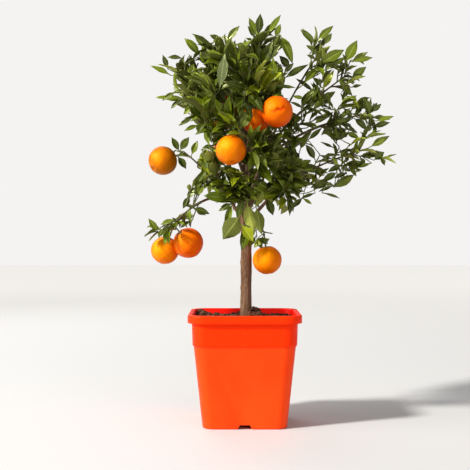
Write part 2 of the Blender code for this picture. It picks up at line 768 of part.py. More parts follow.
def make_foliage(curves):
    """All the masses: first every stem and fruit finds its place, then twigs, then leaves."""
    masses = [Mass(limb, curves[limb.name]) for limb in LIMBS]
    limbs = rods_of("trunk", curves["trunk"], TRUNK_RADIUS, TRUNK_TIP_RADIUS)
    for limb, mass in zip(LIMBS, masses):
        bough = curves[limb.name].part(0, BOUGH_SHARE)
        limbs += rods_of("bough " + limb.name, bough, limb.foot_radius * MM, BOUGH_TIP_RADIUS)
        limbs += rods_of("stem " + limb.name, mass.stem, BOUGH_TIP_RADIUS, STEM_TIP_RADIUS)
        for centre, radius in mass.fruit:
            limbs.append(Rod("fruit", centre, centre + UP * GAP, radius))
    for mass in masses:
        foreign = mass.near_rods(limbs)
        axes = [rod for other in masses if other is not mass for rod in other.axis]
        mass.grow_twigs(list(foreign), axes)
        mass.hang_fruit()
        mass.set_leaves(foreign, axes)
        body = join_mass(mass)
        print(mass.name, len(mass.twigs), "twigs,", len(mass.leaves), "leaves,",
              len(body.data.polygons), "faces")
    print(sum(len(mass.leaves) for mass in masses), "leaves in all")


def main():
    clear_scene()
    make_pot()
    make_soil()
    curves = limb_curves()
    make_limbs(curves)
    make_foliage(curves)
    for obj in bpy.data.objects:
        shade_round(obj)


main()
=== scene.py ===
import math
import random
from collections import namedtuple

import bmesh
import bpy
import numpy as np
from mathutils import Matrix, Vector, kdtree, noise


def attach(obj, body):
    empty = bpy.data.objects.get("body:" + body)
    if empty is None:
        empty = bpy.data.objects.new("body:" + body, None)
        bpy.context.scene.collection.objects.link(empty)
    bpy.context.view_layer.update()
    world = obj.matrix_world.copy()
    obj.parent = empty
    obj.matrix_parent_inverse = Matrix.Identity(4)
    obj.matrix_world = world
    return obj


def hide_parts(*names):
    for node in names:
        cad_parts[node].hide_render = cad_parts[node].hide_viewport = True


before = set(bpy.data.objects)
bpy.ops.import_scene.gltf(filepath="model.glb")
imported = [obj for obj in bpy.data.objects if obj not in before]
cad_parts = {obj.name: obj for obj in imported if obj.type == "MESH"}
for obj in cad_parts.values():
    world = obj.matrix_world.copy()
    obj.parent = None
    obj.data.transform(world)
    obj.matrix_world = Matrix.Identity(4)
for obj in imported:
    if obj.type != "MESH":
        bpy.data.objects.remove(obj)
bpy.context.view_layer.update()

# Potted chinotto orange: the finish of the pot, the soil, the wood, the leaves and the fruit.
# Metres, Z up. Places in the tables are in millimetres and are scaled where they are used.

mm = 0.001
up = Vector((0, 0, 1))
foliageNodes = sorted(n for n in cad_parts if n.startswith("foliage_"))
woodNodes = ["trunk"] + sorted(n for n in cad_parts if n.startswith("bough_"))


# Meshes: how a bmesh becomes a finished piece

def newPiece(name, bm, materials):
    mesh = bpy.data.meshes.new(name)
    bm.to_mesh(mesh)
    bm.free()
    return placePiece(name, mesh, materials)


def placePiece(name, mesh, materials):
    mesh.name = name
    for finish in materials:
        mesh.materials.append(finish)
    piece = bpy.data.objects.new(name, mesh)
    bpy.context.scene.collection.objects.link(piece)
    return piece


def applyModifiers(piece):
    bpy.context.view_layer.update()
    evaluated = piece.evaluated_get(bpy.context.evaluated_depsgraph_get())
    mesh = bpy.data.meshes.new_from_object(evaluated)
    piece.modifiers.clear()
    piece.data = mesh


def shadeRound(piece, degrees):
    piece.data.shade_smooth()
    piece.data.set_sharp_from_angle(angle=math.radians(degrees))


def standsFor(piece, nodes):
    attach(piece, "root")
    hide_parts(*nodes)
    print(f"{piece.name}: {len(piece.data.polygons)} faces, stands for {len(nodes)} of the solids")


def vertexArray(mesh, label):
    values = np.empty(len(mesh.vertices) * 3)
    mesh.vertices.foreach_get(label, values)
    return values.reshape(-1, 3)


def writeMark(mesh, label, values):
    # a number or a vector for each vertex, as a named attribute
    kind, spot = ("FLOAT_VECTOR", "vector") if np.ndim(values) == 2 else ("FLOAT", "value")
    layer = mesh.attributes.new(label, kind, "POINT")
    layer.data.foreach_set(spot, np.ravel(values))


def template(bm):
    # a small mesh as arrays, to be copied many times
    bm.verts.ensure_lookup_table()
    points = np.array([v.co for v in bm.verts])
    faces = [[v.index for v in f.verts] for f in bm.faces]
    bm.free()
    return points, faces


def joinCopies(name, faces, copies, materials, slots, uvs=None, marks=None):
    # copies: an array of points for each; slots: the material of each one's faces
    count = len(copies[0])
    mesh = bpy.data.meshes.new(name)
    joined = [[i + count * k for i in face] for k in range(len(copies)) for face in faces]
    mesh.from_pydata(np.concatenate(copies).tolist(), [], joined)
    mesh.polygons.foreach_set("material_index", np.concatenate(slots).astype(np.int32))
    if uvs is not None:
        corners = np.array([i for face in faces for i in face])
        layer = mesh.uv_layers.new(name="alongLeaf")
        layer.data.foreach_set("uv", np.tile(uvs[corners], (len(copies), 1)).ravel())
    for label, values in (marks or {}).items():
        writeMark(mesh, label, np.concatenate(values))
    mesh.validate()
    return placePiece(name, mesh, materials)


def noiseOver(points, scale, offset):
    return np.array([noise.noise(Vector(p) * scale + Vector(offset)) for p in points])


def hump(distance, width):
    # 1 at no distance, and soon nothing past the width
    return np.exp(-((distance / width) ** 2))


def scaled(colour, factor):
    return tuple(c * factor for c in colour)


# Shader groups that several materials share

def newGroup(name, inputs, outputs):
    # inputs: each with its default, a vector where that is None; the outputs are numbers
    group = bpy.data.node_groups.new(name, "ShaderNodeTree")
    for label, value in inputs.items():
        kind = "NodeSocketVector" if value is None else "NodeSocketFloat"
        socket = group.interface.new_socket(label, in_out="INPUT", socket_type=kind)
        if value is not None:
            socket.default_value = value
    for label in outputs:
        group.interface.new_socket(label, in_out="OUTPUT", socket_type="NodeSocketFloat")
    given, out = group.nodes.new("NodeGroupInput"), group.nodes.new("NodeGroupOutput")
    return group, given.outputs, out.inputs


def addNode(tree, kind, settings=None, values=None):
    # values: by input, a number, a colour or the socket that leads into it
    node = tree.nodes.new("ShaderNode" + kind)
    for label, setting in (settings or {}).items():
        setattr(node, label, setting)
    for label, value in (values or {}).items():
        if isinstance(value, bpy.types.NodeSocket):
            tree.links.new(value, node.inputs[label])
        else:
            node.inputs[label].default_value = value
    return node


def compute(tree, operation, *values):
    return addNode(tree, "Math", {"operation": operation}, dict(enumerate(values))).outputs[0]


def smoothRange(tree, value, low, high, toLow=0.0, toHigh=1.0):
    values = {"Value": value, "From Min": low, "From Max": high, "To Min": toLow, "To Max": toHigh}
    return addNode(tree, "MapRange", {"interpolation_type": "SMOOTHSTEP"}, values).outputs["Result"]


def patchesGroup():
    # soft patches of noise, as a mask
    group, given, out = newGroup(
        "patches", {"Vector": None, "Scale": 20.0, "Detail": 3.0, "Low": 0.4, "High": 0.6}, ["Mask"])
    cloud = addNode(group, "TexNoise", None,
                    {label: given[label] for label in ("Vector", "Scale", "Detail")})
    mask = smoothRange(group, cloud.outputs["Fac"], given["Low"], given["High"])
    group.links.new(mask, out["Mask"])
    return group


def pitsGroup():
    # round pits or grains, as a height from 0 at a cell's middle to 1 at its edge
    group, given, out = newGroup("pits", {"Vector": None, "Scale": 800.0, "Edge": 0.5}, ["Height"])
    cells = addNode(group, "TexVoronoi", {"feature": "F1"},
                    {"Vector": given["Vector"], "Scale": given["Scale"]})
    height = smoothRange(group, cells.outputs["Distance"], 0.0, given["Edge"])
    group.links.new(height, out["Height"])
    return group


def veinsGroup():
    # a leaf's midrib and side veins from its UV map: U runs root to tip, V edge to edge
    group, given, out = newGroup(
        "veins", {"Vector": None, "Pairs": 9.0, "Slant": 2.2}, ["Midrib", "Side"])
    place = addNode(group, "SeparateXYZ", None, {"Vector": given["Vector"]}).outputs
    aside = compute(group, "ABSOLUTE", compute(group, "SUBTRACT", place["Y"], 0.5))
    along = compute(group, "MULTIPLY", place["X"], given["Pairs"])
    slant = compute(group, "MULTIPLY", aside, given["Slant"])
    line = compute(group, "PINGPONG", compute(group, "SUBTRACT", along, slant), 0.5)
    group.links.new(smoothRange(group, aside, 0.018, 0.065, 1.0, 0.0), out["Midrib"])
    group.links.new(smoothRange(group, line, 0.03, 0.16, 1.0, 0.0), out["Side"])
    return group


groups = {"patches": patchesGroup(), "pits": pitsGroup(), "veins": veinsGroup()}


class Finish:
    # one material: its tree, its Principled shader and the nodes that lead into it

    def __init__(self, name, roughness, settings=None):
        self.material = bpy.data.materials.new(name)
        self.material.use_nodes = True
        self.tree = self.material.node_tree
        self.shader = self.tree.nodes["Principled BSDF"].inputs
        for label, value in {"Roughness": roughness, **(settings or {})}.items():
            self.shader[label].default_value = value
        self.place = addNode(self.tree, "TexCoord").outputs["Object"]

    def shared(self, name, values):
        # the outputs of a shader group, on Object coordinates unless the values say otherwise
        values = {"Vector": self.place, **values}
        return addNode(self.tree, "Group", {"node_tree": groups[name]}, values).outputs

    def patches(self, scale, low, high, detail=3.0, place=None):
        values = {"Scale": scale, "Low": low, "High": high, "Detail": detail}
        return self.shared("patches", {**values, "Vector": place or self.place})["Mask"]

    def above(self, height, softness):
        # a mask that turns on at a height
        place = addNode(self.tree, "SeparateXYZ", None, {"Vector": self.place}).outputs
        return smoothRange(self.tree, place["Z"], height - softness, height)

    def beyond(self, near, far):
        # a mask that turns on with the distance from the middle
        reach = addNode(self.tree, "VectorMath", {"operation": "LENGTH"}, {0: self.place})
        return smoothRange(self.tree, reach.outputs["Value"], near, far)

    def mark(self, name, output="Fac"):
        return addNode(self.tree, "Attribute", {"attribute_name": name}).outputs[output]

    def blend(self, mask, first, second, share=1.0):
        # first and second: a colour or a socket; share lessens the mask
        if share != 1.0:
            mask = compute(self.tree, "MULTIPLY", mask, share)
        mix = addNode(self.tree, "Mix", {"data_type": "RGBA"}, {"Factor": mask})
        for socket, tone in zip([s for s in mix.inputs if s.type == "RGBA"], (first, second)):
            if isinstance(tone, tuple):
                socket.default_value = (*tone, 1)
            else:
                self.tree.links.new(tone, socket)
        return [s for s in mix.outputs if s.type == "RGBA"][0]

    def colour(self, tone):
        self.tree.links.new(tone, self.shader["Base Color"])

    def gloss(self, mask, low, high):
        self.tree.links.new(smoothRange(self.tree, mask, 0, 1, low, high), self.shader["Roughness"])

    def bump(self, height, depth, strength=1.0, under=None):
        values = {"Height": height, "Distance": depth, "Strength": strength}
        if under:
            values["Normal"] = under
        normal = addNode(self.tree, "Bump", None, values).outputs["Normal"]
        self.tree.links.new(normal, self.shader["Normal"])
        return normal


# The pot: one moulded shell of orange plastic with a turned-down rim and a ledge

pot = {
    "side": 182.5 * mm,
    "height": 182 * mm,
    "wall": 2 * mm,
    "rimDepth": 13 * mm,
    "rimOverhang": 6.2 * mm,
    "ledgeHeight": 134 * mm,
    "ledgeDepth": 3 * mm,
    "ledgeStep": 1.6 * mm,
    "collarTaper": 1.6 * mm,
    "footHalf": 68 * mm,
    "footEdge": 2 * mm,
    "cornerTop": 23 * mm,
    "cornerFoot": 19 * mm,
    "cornerSteps": 9,
    "floor": 3 * mm,
    "edge": 0.7 * mm,
    "softFrom": 28,  # degrees: an edge sharper than this is rounded off
    "crispFrom": 40,
    "colour": (0.95, 0.072, 0.0075),
    "bodyColour": (0.95, 0.047, 0.0045),
    # painted shade: the collar above the ledge takes this deeper red, as where less light falls; the
    # inner wall mixes it into its clouds
    "deepColour": (0.92, 0.022, 0.0),
    "dust": (0.92, 0.12, 0.012),
    # painted light: the inside is a deeper red, for the light that shines through the wall
    "litThroughColour": (0.80, 0.003, 0.0),
    "sheen": {"Specular IOR Level": 0.16, "Specular Tint": (1.0, 0.55, 0.25, 1)},
    # patches: scale, low, high and detail; relief: depth and strength
    "palePatches": (9, 0.3, 0.75),
    "scuffs": (160, 0.62, 0.8, 6),
    "clouds": (30, 0.3, 0.7),
    "shine": (40, 0.3, 0.75, 5),
    "grain": (700, 0.2, 0.8, 2),
    "relief": (0.05 * mm, 0.35),
    "roughness": (0.30, 0.46),
    "innerRoughness": (0.36, 0.5),
    "shadedCollarFade": 6 * mm,
    "glow": (1.0, 0.001, 0.0005, 1),  # of the light that comes through the wall
    "glowStrength": 0.12,
}

channel = {
    "padHalf": 18 * mm,
    "height": 7 * mm,
    "footHalf": 12 * mm,
    "topHalf": 8 * mm,
    "wall": 1.8 * mm,
    "drainRadius": 4 * mm,
    "drainReach": 42 * mm,
    "drainSides": 20,
    "ridgeFoot": 1 * mm,
    "cutBelow": 0.5 * mm,
}


def orangePlastic():
    finish = Finish("orangePlastic", 0.38, pot["sheen"])
    body = finish.blend(finish.patches(*pot["palePatches"]), pot["bodyColour"], pot["colour"], 0.8)
    # painted shade: a deeper red above the ledge
    upper = finish.above(pot["ledgeHeight"], pot["shadedCollarFade"])
    tone = finish.blend(upper, body, pot["deepColour"], 0.8)
    finish.colour(finish.blend(finish.patches(*pot["scuffs"]), tone, pot["dust"], 0.25))
    finish.gloss(finish.patches(*pot["shine"]), *pot["roughness"])
    finish.bump(finish.patches(*pot["grain"]), *pot["relief"])
    return finish.material


def innerPlastic():
    # the inside of the wall, which light shines through: its deeper red and its faint emission are
    # painted light
    glow = {"Emission Color": pot["glow"], "Emission Strength": pot["glowStrength"]}
    finish = Finish("innerPlastic", 0.42, {"Specular IOR Level": 0.1, **glow})
    clouds = finish.patches(*pot["clouds"])
    finish.colour(finish.blend(clouds, pot["litThroughColour"], pot["deepColour"], 0.5))
    finish.gloss(clouds, *pot["innerRoughness"])
    finish.bump(finish.patches(*pot["grain"]), *pot["relief"])
    return finish.material


def wallHalf(z):
    # half the pot's outer width at a height below the rim
    underRim = pot["side"] / 2 - pot["rimOverhang"]
    ledge = underRim - pot["collarTaper"]
    if z >= pot["ledgeHeight"]:
        share = (z - pot["ledgeHeight"]) / (pot["height"] - pot["ledgeHeight"])
        return ledge + pot["collarTaper"] * share
    return pot["footHalf"] + (ledge - pot["ledgeStep"] - pot["footHalf"]) * z / pot["ledgeHeight"]


def cornerAt(half, z):
    # the corner's centre stays where the wall's is at that height
    corner = pot["cornerFoot"] + (pot["cornerTop"] - pot["cornerFoot"]) * z / pot["height"]
    return corner + half - wallHalf(z)


def roundedFace(bm, half, corner, z):
    # a square face with its four corners rounded
    bmesh.ops.create_grid(bm, x_segments=1, y_segments=1, size=half,
                          matrix=Matrix.Translation((0, 0, z)))
    bmesh.ops.bevel(bm, geom=bm.verts[:], affect="VERTICES", offset=corner,
                    segments=pot["cornerSteps"], profile=0.5, material=-1)
    bm.faces.ensure_lookup_table()
    return bm.faces[0]


def moveRing(verts, old, new):
    # each vertex keeps its place on its corner's arc; old and new are (half, corner, z)
    for v in verts:
        signs = Vector((math.copysign(1, v.co.x), math.copysign(1, v.co.y), 0))
        centre = signs * (old[0] - old[1])
        out = (Vector((v.co.x, v.co.y, 0)) - centre) / old[1]
        v.co = signs * (new[0] - new[1]) + out * new[1] + up * new[2]


def potProfile():
    # half width and height, from the underside up the wall, over the rim and down inside
    rim = pot["side"] / 2
    wall = pot["wall"]
    flange = pot["height"] - wall
    lipFoot = pot["height"] - pot["rimDepth"]
    ledgeFoot = pot["ledgeHeight"] - pot["ledgeDepth"]
    edge = pot["edge"]
    inner = rim - pot["rimOverhang"] - wall
    return [
        (pot["footHalf"] - pot["footEdge"], 0),
        (pot["footHalf"], pot["footEdge"]),
        (wallHalf(ledgeFoot), ledgeFoot),
        (wallHalf(pot["ledgeHeight"]), pot["ledgeHeight"]),
        (wallHalf(flange - 2 * wall), flange - 2 * wall),
        (wallHalf(flange), flange),
        (rim - wall, flange),
        (rim - wall, lipFoot),
        (rim, lipFoot),
        (rim, pot["height"] - 2 * edge),
        (rim - 2 * edge, pot["height"]),
        (inner + 2 * edge, pot["height"]),
        (inner, pot["height"] - 2 * edge),
        (wallHalf(pot["ledgeHeight"]) - wall, pot["ledgeHeight"]),
        (wallHalf(ledgeFoot) - wall, ledgeFoot),
        (pot["footHalf"] - wall, pot["floor"]),
    ]


def channelBar(quarter, wider, low, high):
    # a trapezoid bar from the central pad out to the middle of one side
    bm = bmesh.new()
    bmesh.ops.create_cube(bm, size=1, matrix=Matrix.Translation((0.5, 0, 0.5)))
    out = pot["side"] / 2 if wider == 0 else pot["footHalf"] - pot["wall"] / 2
    for v in bm.verts:
        half = (channel["topHalf"] if v.co.z > 0.5 else channel["footHalf"]) + wider
        start = channel["padHalf"] - wider
        v.co = (start + (out - start) * v.co.x, 2 * v.co.y * half, low + (high - low) * v.co.z)
    turn = Matrix.Rotation(math.radians(90 * quarter), 3, "Z")
    bmesh.ops.rotate(bm, matrix=turn, verts=bm.verts[:])
    return newPiece("bar", bm, [])


def drainHole(quarter):
    bm = bmesh.new()
    reach = Matrix.Translation((channel["drainReach"], 0, channel["height"]))
    bmesh.ops.create_cone(bm, cap_ends=True, segments=channel["drainSides"],
                          radius1=channel["drainRadius"], radius2=channel["drainRadius"],
                          depth=3 * channel["height"],
                          matrix=Matrix.Rotation(math.radians(90 * quarter), 4, "Z") @ reach)
    return newPiece("drain", bm, [])


def combine(piece, operation, others):
    for other in others:
        modifier = piece.modifiers.new(operation.lower(), "BOOLEAN")
        modifier.operation = operation
        modifier.object = other
    applyModifiers(piece)
    for other in others:
        bpy.data.objects.remove(other)


def makePot():
    bm = bmesh.new()
    profile = [(half, cornerAt(half, z), z) for half, z in potProfile()]
    face = roundedFace(bm, *profile[0])
    face.copy()  # stays behind as the underside
    for old, new in zip(profile, profile[1:]):
        face = bmesh.ops.extrude_discrete_faces(bm, faces=[face])["faces"][0]
        moveRing(face.verts, old, new)
    bmesh.ops.remove_doubles(bm, verts=bm.verts[:], dist=0.01 * mm)
    bmesh.ops.recalc_face_normals(bm, faces=bm.faces[:])
    shell = newPiece("potShell", bm, [orangePlastic(), innerPlastic()])
    top = channel["height"]
    ridges = [channelBar(q, channel["wall"], channel["ridgeFoot"], top + channel["wall"])
              for q in range(4)]
    combine(shell, "UNION", ridges)
    cutters = [channelBar(q, 0, -channel["cutBelow"], top) for q in range(4)]
    combine(shell, "DIFFERENCE", cutters + [drainHole(q) for q in range(4)])
    soften = shell.modifiers.new("soften", "BEVEL")
    soften.width = pot["edge"]
    soften.segments = 2
    soften.limit_method = "ANGLE"
    soften.angle_limit = math.radians(pot["softFrom"])
    applyModifiers(shell)
    shadeRound(shell, pot["crispFrom"])
    for face in shell.data.polygons:
        outwards = Vector((face.center.x, face.center.y, 0)).normalized()
        if face.normal.dot(outwards) < -0.5 and face.center.z > pot["floor"] + pot["footEdge"]:
            face.material_index = 1
    standsFor(shell, ["pot"])


makePot()


# The potting mix: a block whose top is rough, and loose crumbs and chips on it

soil = {
    "edge": 171.5 * mm,
    "centre": 174 * mm,
    "heaps": [  # x, y, height and radius in millimetres
        (15, -8, 14, 15),
        (-72, 66, 4, 17),
    ],
    "wave": 1.8 * mm,
    "waveLengths": (33 * mm, 27 * mm),
    "foot": 10 * mm,  # clear of the ridges in the pot's floor
    "cells": 110,
    "roughness": 1.9 * mm,
    "lumps": 7 * mm,
    "gap": 0.3 * mm,
    "colour": (0.075, 0.027, 0.012),
    "dryColour": (0.165, 0.066, 0.029),
    "grit": (420, 0.35, 0.7, 6),  # patches: scale, low, high and detail
    "dryPatches": (45, 0.35, 0.65, 4),
    "gritShade": 0.45,
    "gritRelief": (0.5 * mm, 0.8),  # depth and strength
    "grains": {"Scale": 900.0, "Edge": 0.6},
    "grainRelief": (0.3 * mm, 0.6),
    "fractal": (0.6, 2.2, 4),  # dimension, lacunarity and octaves of the rough top
}

crumbs = {
    "count": 900,
    "sizes": (0.7 * mm, 2.2 * mm),
    "clods": 90,
    "clodSizes": (2.4 * mm, 5.2 * mm),
    "chips": 120,
    "squash": (0.6, 0.95),
    "chipSquash": 0.25,
    "chipLength": 1.5,
    "stretch": ((0.75, 1.3), (0.7, 1.1)),
    "dents": 0.35,
    "dentScale": 1.7,
    "lean": 0.6,  # radians
    "sunk": 0.35,
    "fromWall": 4 * mm,
    "darkColour": (0.045, 0.019, 0.009),
    "chipColour": (0.26, 0.12, 0.055),
}


def pottingMix(name, dark, dry):
    finish = Finish(name, 0.95, {"Specular IOR Level": 0.25})
    grit = finish.patches(*soil["grit"])
    tone = finish.blend(finish.patches(*soil["dryPatches"]), dark, dry)
    finish.colour(finish.blend(grit, tone, scaled(dark, soil["gritShade"]), 0.7))
    finish.gloss(grit, 0.75, 1.0)
    grains = finish.shared("pits", soil["grains"])["Height"]
    finish.bump(grit, *soil["gritRelief"], finish.bump(grains, *soil["grainRelief"]))
    return finish.material


def soilHeight(x, y):
    # heaped beside the trunk and in one corner, low at the wall
    fromTrunk = math.hypot(x - trunk["foot"].x, y - trunk["foot"].y)
    share = min(1, fromTrunk / (pot["side"] / 2))
    z = soil["centre"] + (soil["edge"] - soil["centre"]) * share
    for heapX, heapY, height, radius in soil["heaps"]:
        fromHeap = math.hypot(x - heapX * mm, y - heapY * mm) / (radius * mm)
        z += height * mm * math.exp(-(fromHeap**2))
    waves = [math.sin(math.tau * place / length + 1)
             for place, length in zip((x, y), soil["waveLengths"])]
    return z + soil["wave"] * waves[0] * waves[1]


trunk = {
    "foot": Vector((2, 0, 174.3)) * mm,
    "tip": Vector((2.5, 0, 352)) * mm,
    "bow": 1.2 * mm,
    "radius": 8.3 * mm,
    "tipRadius": 6.6 * mm,
    "flare": 0.4 * mm,
    "flareHeight": 10 * mm,
    "roots": 3,
    "rootSwell": 0.35,
    "unevenness": 0.03,
    "bark": (1.0 * mm, 2.6 * mm),  # over the wood at its foot and its tip
    "sunk": 6 * mm,  # how far its foot reaches into the soil
    "knobs": [  # height, degrees round from +X, radius, how far it stands out, in millimetres
        (264, 188, 3.4, 1.0),
        (222, 192, 3.8, 1.2),
        (243, 262, 3.0, 0.9),
        (287, 318, 3.2, 1.0),
        (205, 30, 3.6, 1.1),
        (310, 96, 3.4, 1.2),
    ],
    "ridges": 0.42 * mm,
    "ridgeScale": 420,
    "cracks": 0.25 * mm,
    "crackScale": 900,
    "streakScale": 900,
    "voxel": 0.95 * mm,
    "colour": (0.130, 0.058, 0.024),
    "paleColour": (0.21, 0.118, 0.062),
    "darkColour": (0.055, 0.021, 0.007),
    "youngColour": (0.075, 0.052, 0.018),  # of the bark in the crown, and of twigs
    "youngFrom": 385 * mm,
    "youngFade": 30 * mm,
    "grainStretch": 0.16,  # of the bark's lines along a limb
    "steps": 18,
    "collar": 0.35,  # how much a bough swells where it sets out
    "collarFade": 9,
    "smoothing": 4,
}


def soilTop(x, y):
    # the surface with its lumps
    spot = Vector((x, y, 0)) / soil["lumps"]
    return soilHeight(x, y) + noise.fractal(spot, *soil["fractal"]) * soil["roughness"]


def roundCorner(x, y, half, corner):
    # moves a point of a square onto the square with rounded corners
    a = (abs(x) - (half - corner)) / corner
    b = (abs(y) - (half - corner)) / corner
    if a <= 0 or b <= 0:
        return x, y
    inside = half - corner
    nearX = inside + corner * a * math.sqrt(1 - b * b / 2)
    nearY = inside + corner * b * math.sqrt(1 - a * a / 2)
    return math.copysign(nearX, x), math.copysign(nearY, y)


def makeSoil():
    inset = pot["wall"] + soil["gap"]
    height = soil["edge"] - pot["ledgeDepth"]
    half = wallHalf(height) - inset
    corner = cornerAt(half, height)
    bm = bmesh.new()
    bmesh.ops.create_grid(bm, x_segments=soil["cells"], y_segments=soil["cells"], size=half)
    for v in bm.verts:
        x, y = roundCorner(v.co.x, v.co.y, half, corner)
        v.co = (x, y, height if v.is_boundary else soilTop(x, y))
    edges = [e for e in bm.edges if e.is_boundary]
    for z in (pot["ledgeHeight"], pot["ledgeHeight"] - pot["ledgeDepth"], soil["foot"]):
        made = bmesh.ops.extrude_edge_only(bm, edges=edges)["geom"]
        edges = [g for g in made if isinstance(g, bmesh.types.BMEdge)]
        verts = [g for g in made if isinstance(g, bmesh.types.BMVert)]
        inner = wallHalf(z) - inset
        bmesh.ops.scale(bm, vec=(inner / half, inner / half, 1), verts=verts)
        bmesh.ops.translate(bm, vec=(0, 0, z - height), verts=verts)
        half, height = inner, z
    bmesh.ops.holes_fill(bm, edges=edges)
    bmesh.ops.recalc_face_normals(bm, faces=bm.faces[:])
    block = newPiece("soilBlock", bm, [pottingMix("pottingMix", soil["colour"], soil["dryColour"])])
    shadeRound(block, 50)
    standsFor(block, ["soil"])


def crumbCopy(points, rng, size, squash, spot):
    # one crumb: stretched, turned, dented by noise and set on the soil
    stretch = np.array([rng.uniform(*span) for span in crumbs["stretch"]] + [squash])
    dents = noiseOver(points, crumbs["dentScale"], Vector((spot[0], spot[1], 0)) * 900)
    shaped = points * (1 + crumbs["dents"] * dents)[:, None] * stretch * size
    turn = Matrix.Rotation(rng.uniform(0, math.tau), 3, "Z") @ Matrix.Rotation(
        rng.uniform(-crumbs["lean"], crumbs["lean"]), 3, "X")
    return shaped @ np.array(turn).T + np.array(spot)


def crumbSpot(rng, onHeap):
    if onHeap:
        heapX, heapY, _, radius = rng.choice(soil["heaps"])
        reach = radius * mm * math.sqrt(rng.random())
        turn = rng.uniform(0, math.tau)
        return heapX * mm + reach * math.cos(turn), heapY * mm + reach * math.sin(turn)
    half = wallHalf(soil["edge"]) - pot["wall"] - crumbs["fromWall"]
    return roundCorner(rng.uniform(-half, half), rng.uniform(-half, half), half, pot["cornerFoot"])


def crumbTemplate():
    bm = bmesh.new()
    bmesh.ops.create_cube(bm, size=2)
    bmesh.ops.subdivide_edges(bm, edges=bm.edges[:], cuts=1, use_grid_fill=True)
    for v in bm.verts:
        v.co.normalize()
    return template(bm)


def scatterCrumbs():
    rng = random.Random("crumbs")
    points, faces = crumbTemplate()
    copies, slots = [], []
    for number in range(crumbs["count"] + crumbs["clods"] + crumbs["chips"]):
        clod = number < crumbs["clods"]
        chip = not clod and number < crumbs["clods"] + crumbs["chips"]
        x, y = crumbSpot(rng, number % (3 if clod else 9) == 0)
        fromTrunk = math.hypot(x - trunk["foot"].x, y - trunk["foot"].y)
        size = rng.uniform(*(crumbs["clodSizes"] if clod else crumbs["sizes"]))
        if fromTrunk < trunk["radius"] + trunk["flare"] + size:
            continue
        squash = crumbs["chipSquash"] if chip else rng.uniform(*crumbs["squash"])
        spot = (x, y, soilTop(x, y) + size * squash * crumbs["sunk"])
        size *= crumbs["chipLength"] if chip else 1
        copies.append(crumbCopy(points, rng, size, squash, spot))
        slots.append(np.full(len(faces), 2 if chip else rng.choice((0, 0, 1))))
    finishes = [
        pottingMix("darkCrumb", crumbs["darkColour"], soil["colour"]),
        pottingMix("dryCrumb", soil["colour"], soil["dryColour"]),
        pottingMix("barkChip", soil["dryColour"], crumbs["chipColour"]),
    ]
    loose = joinCopies("soilCrumbs", faces, copies, finishes, slots)
    shadeRound(loose, 60)
    standsFor(loose, ["soil"])


makeSoil()
scatterCrumbs()


# Limbs: each leaves its carrier's axis and sweeps round to its own tip

# by name: the carrier and how far along it, the own tip, the radius at the foot, the length of
# the leaves and how full the mass of foliage is
limbs = {
    "leader": ("trunk", 1.0, (24, 0, 622), 5.4, 57, 0.65),
    "left": ("trunk", 0.93, (-106, -4, 572), 4.4, 57, 0.65),
    "right": ("trunk", 0.97, (118, -6, 602), 4.4, 45, 0.5),
    "front": ("trunk", 0.87, (-14, -92, 586), 4.0, 57, 0.65),
    "back": ("trunk", 0.90, (0, 86, 592), 4.2, 54, 1.0),
    "low_right": ("trunk", 0.83, (198, -8, 450), 3.6, 42, 0.5),
    "low_left": ("trunk", 0.80, (-100, -12, 446), 3.4, 43, 0.5),
    "low_front": ("trunk", 0.76, (-20, -88, 388), 2.6, 52, 0.8),
    "low_back": ("trunk", 0.79, (6, 88, 400), 2.8, 52, 0.8),
    "low_fruit": ("trunk", 0.90, (32, -20, 312), 2.2, 40, 0.2),
    "trunk_front": ("trunk", 0.72, (4, -48, 334), 2.2, 46, 0.4),
    "top_left": ("leader", 0.36, (-46, -26, 604), 2.9, 57, 0.65),
    "mid_left": ("left", 0.36, (-92, -42, 514), 2.8, 50, 0.65),
    "hanging": ("low_left", 0.40, (-114, -26, 328), 2.3, 38, 0.6),
    "inner_left": ("low_left", 0.28, (-62, -72, 440), 2.3, 52, 1.0),
    "front_left": ("front", 0.30, (-54, -104, 500), 2.8, 57, 0.65),
    "front_right": ("front", 0.38, (42, -92, 542), 2.7, 57, 0.85),
    "front_middle": ("front", 0.20, (26, -104, 436), 2.5, 52, 0.65),
    "inner_right": ("right", 0.28, (96, -40, 494), 2.6, 44, 0.6),
    "far_right": ("right", 0.33, (204, 2, 510), 2.8, 43, 0.5),
    "upper_right": ("right", 0.40, (172, 10, 576), 2.4, 44, 0.5),
    "bottom_right": ("low_right", 0.34, (130, -28, 396), 2.5, 43, 0.5),
    "under_right": ("low_right", 0.22, (66, -68, 394), 2.3, 50, 0.9),
    "back_left": ("back", 0.30, (-82, 92, 540), 2.8, 54, 1.0),
    "back_right": ("back", 0.38, (66, 94, 562), 2.7, 54, 0.9),
    "back_middle": ("back", 0.24, (14, 122, 488), 2.7, 54, 1.0),
    "back_low_left": ("low_back", 0.28, (-84, 80, 440), 2.3, 52, 0.9),
    "back_low_right": ("low_back", 0.36, (98, 80, 440), 2.2, 52, 0.8),
}
Limb = namedtuple("Limb", "carrier share tip radius leafLength fullness")
limbs = {name: Limb(*row) for name, row in limbs.items()}

growth = {
    "boughShare": 0.5,  # of a limb: the rest of it is the stem of its mass
    "boughTip": 2.3 * mm,
    "stemTip": 1.8 * mm,
    "setOut": 0.45,
    "bendAt": 0.45,
    "gap": 0.3 * mm,
    "reach": 78 * mm,
    "twigSpacing": 14 * mm,
    "firstTwig": 0.1,
    "lastTwig": 0.92,
    "twigLength": 38 * mm,
    "twigSpread": (42, 66),
    "twigTaper": 0.3,
    "twigLift": 0.14,
    "twigSizes": (0.85, 1.1),
    "twigTurnStray": 0.4,
    "shorter": (1, 0.8, 0.6, 0.45),
    "twigRadius": 1.25 * mm,
    "twigClear": 3 * mm,
    "goldenTurn": math.radians(137.5),
    "stemSides": 4,
    "twigSides": 3,
    "sideStray": 0.2,
    "fewestTwigs": 3,
    "steps": 6,  # straight rods that stand for a curve in the tests of room
}

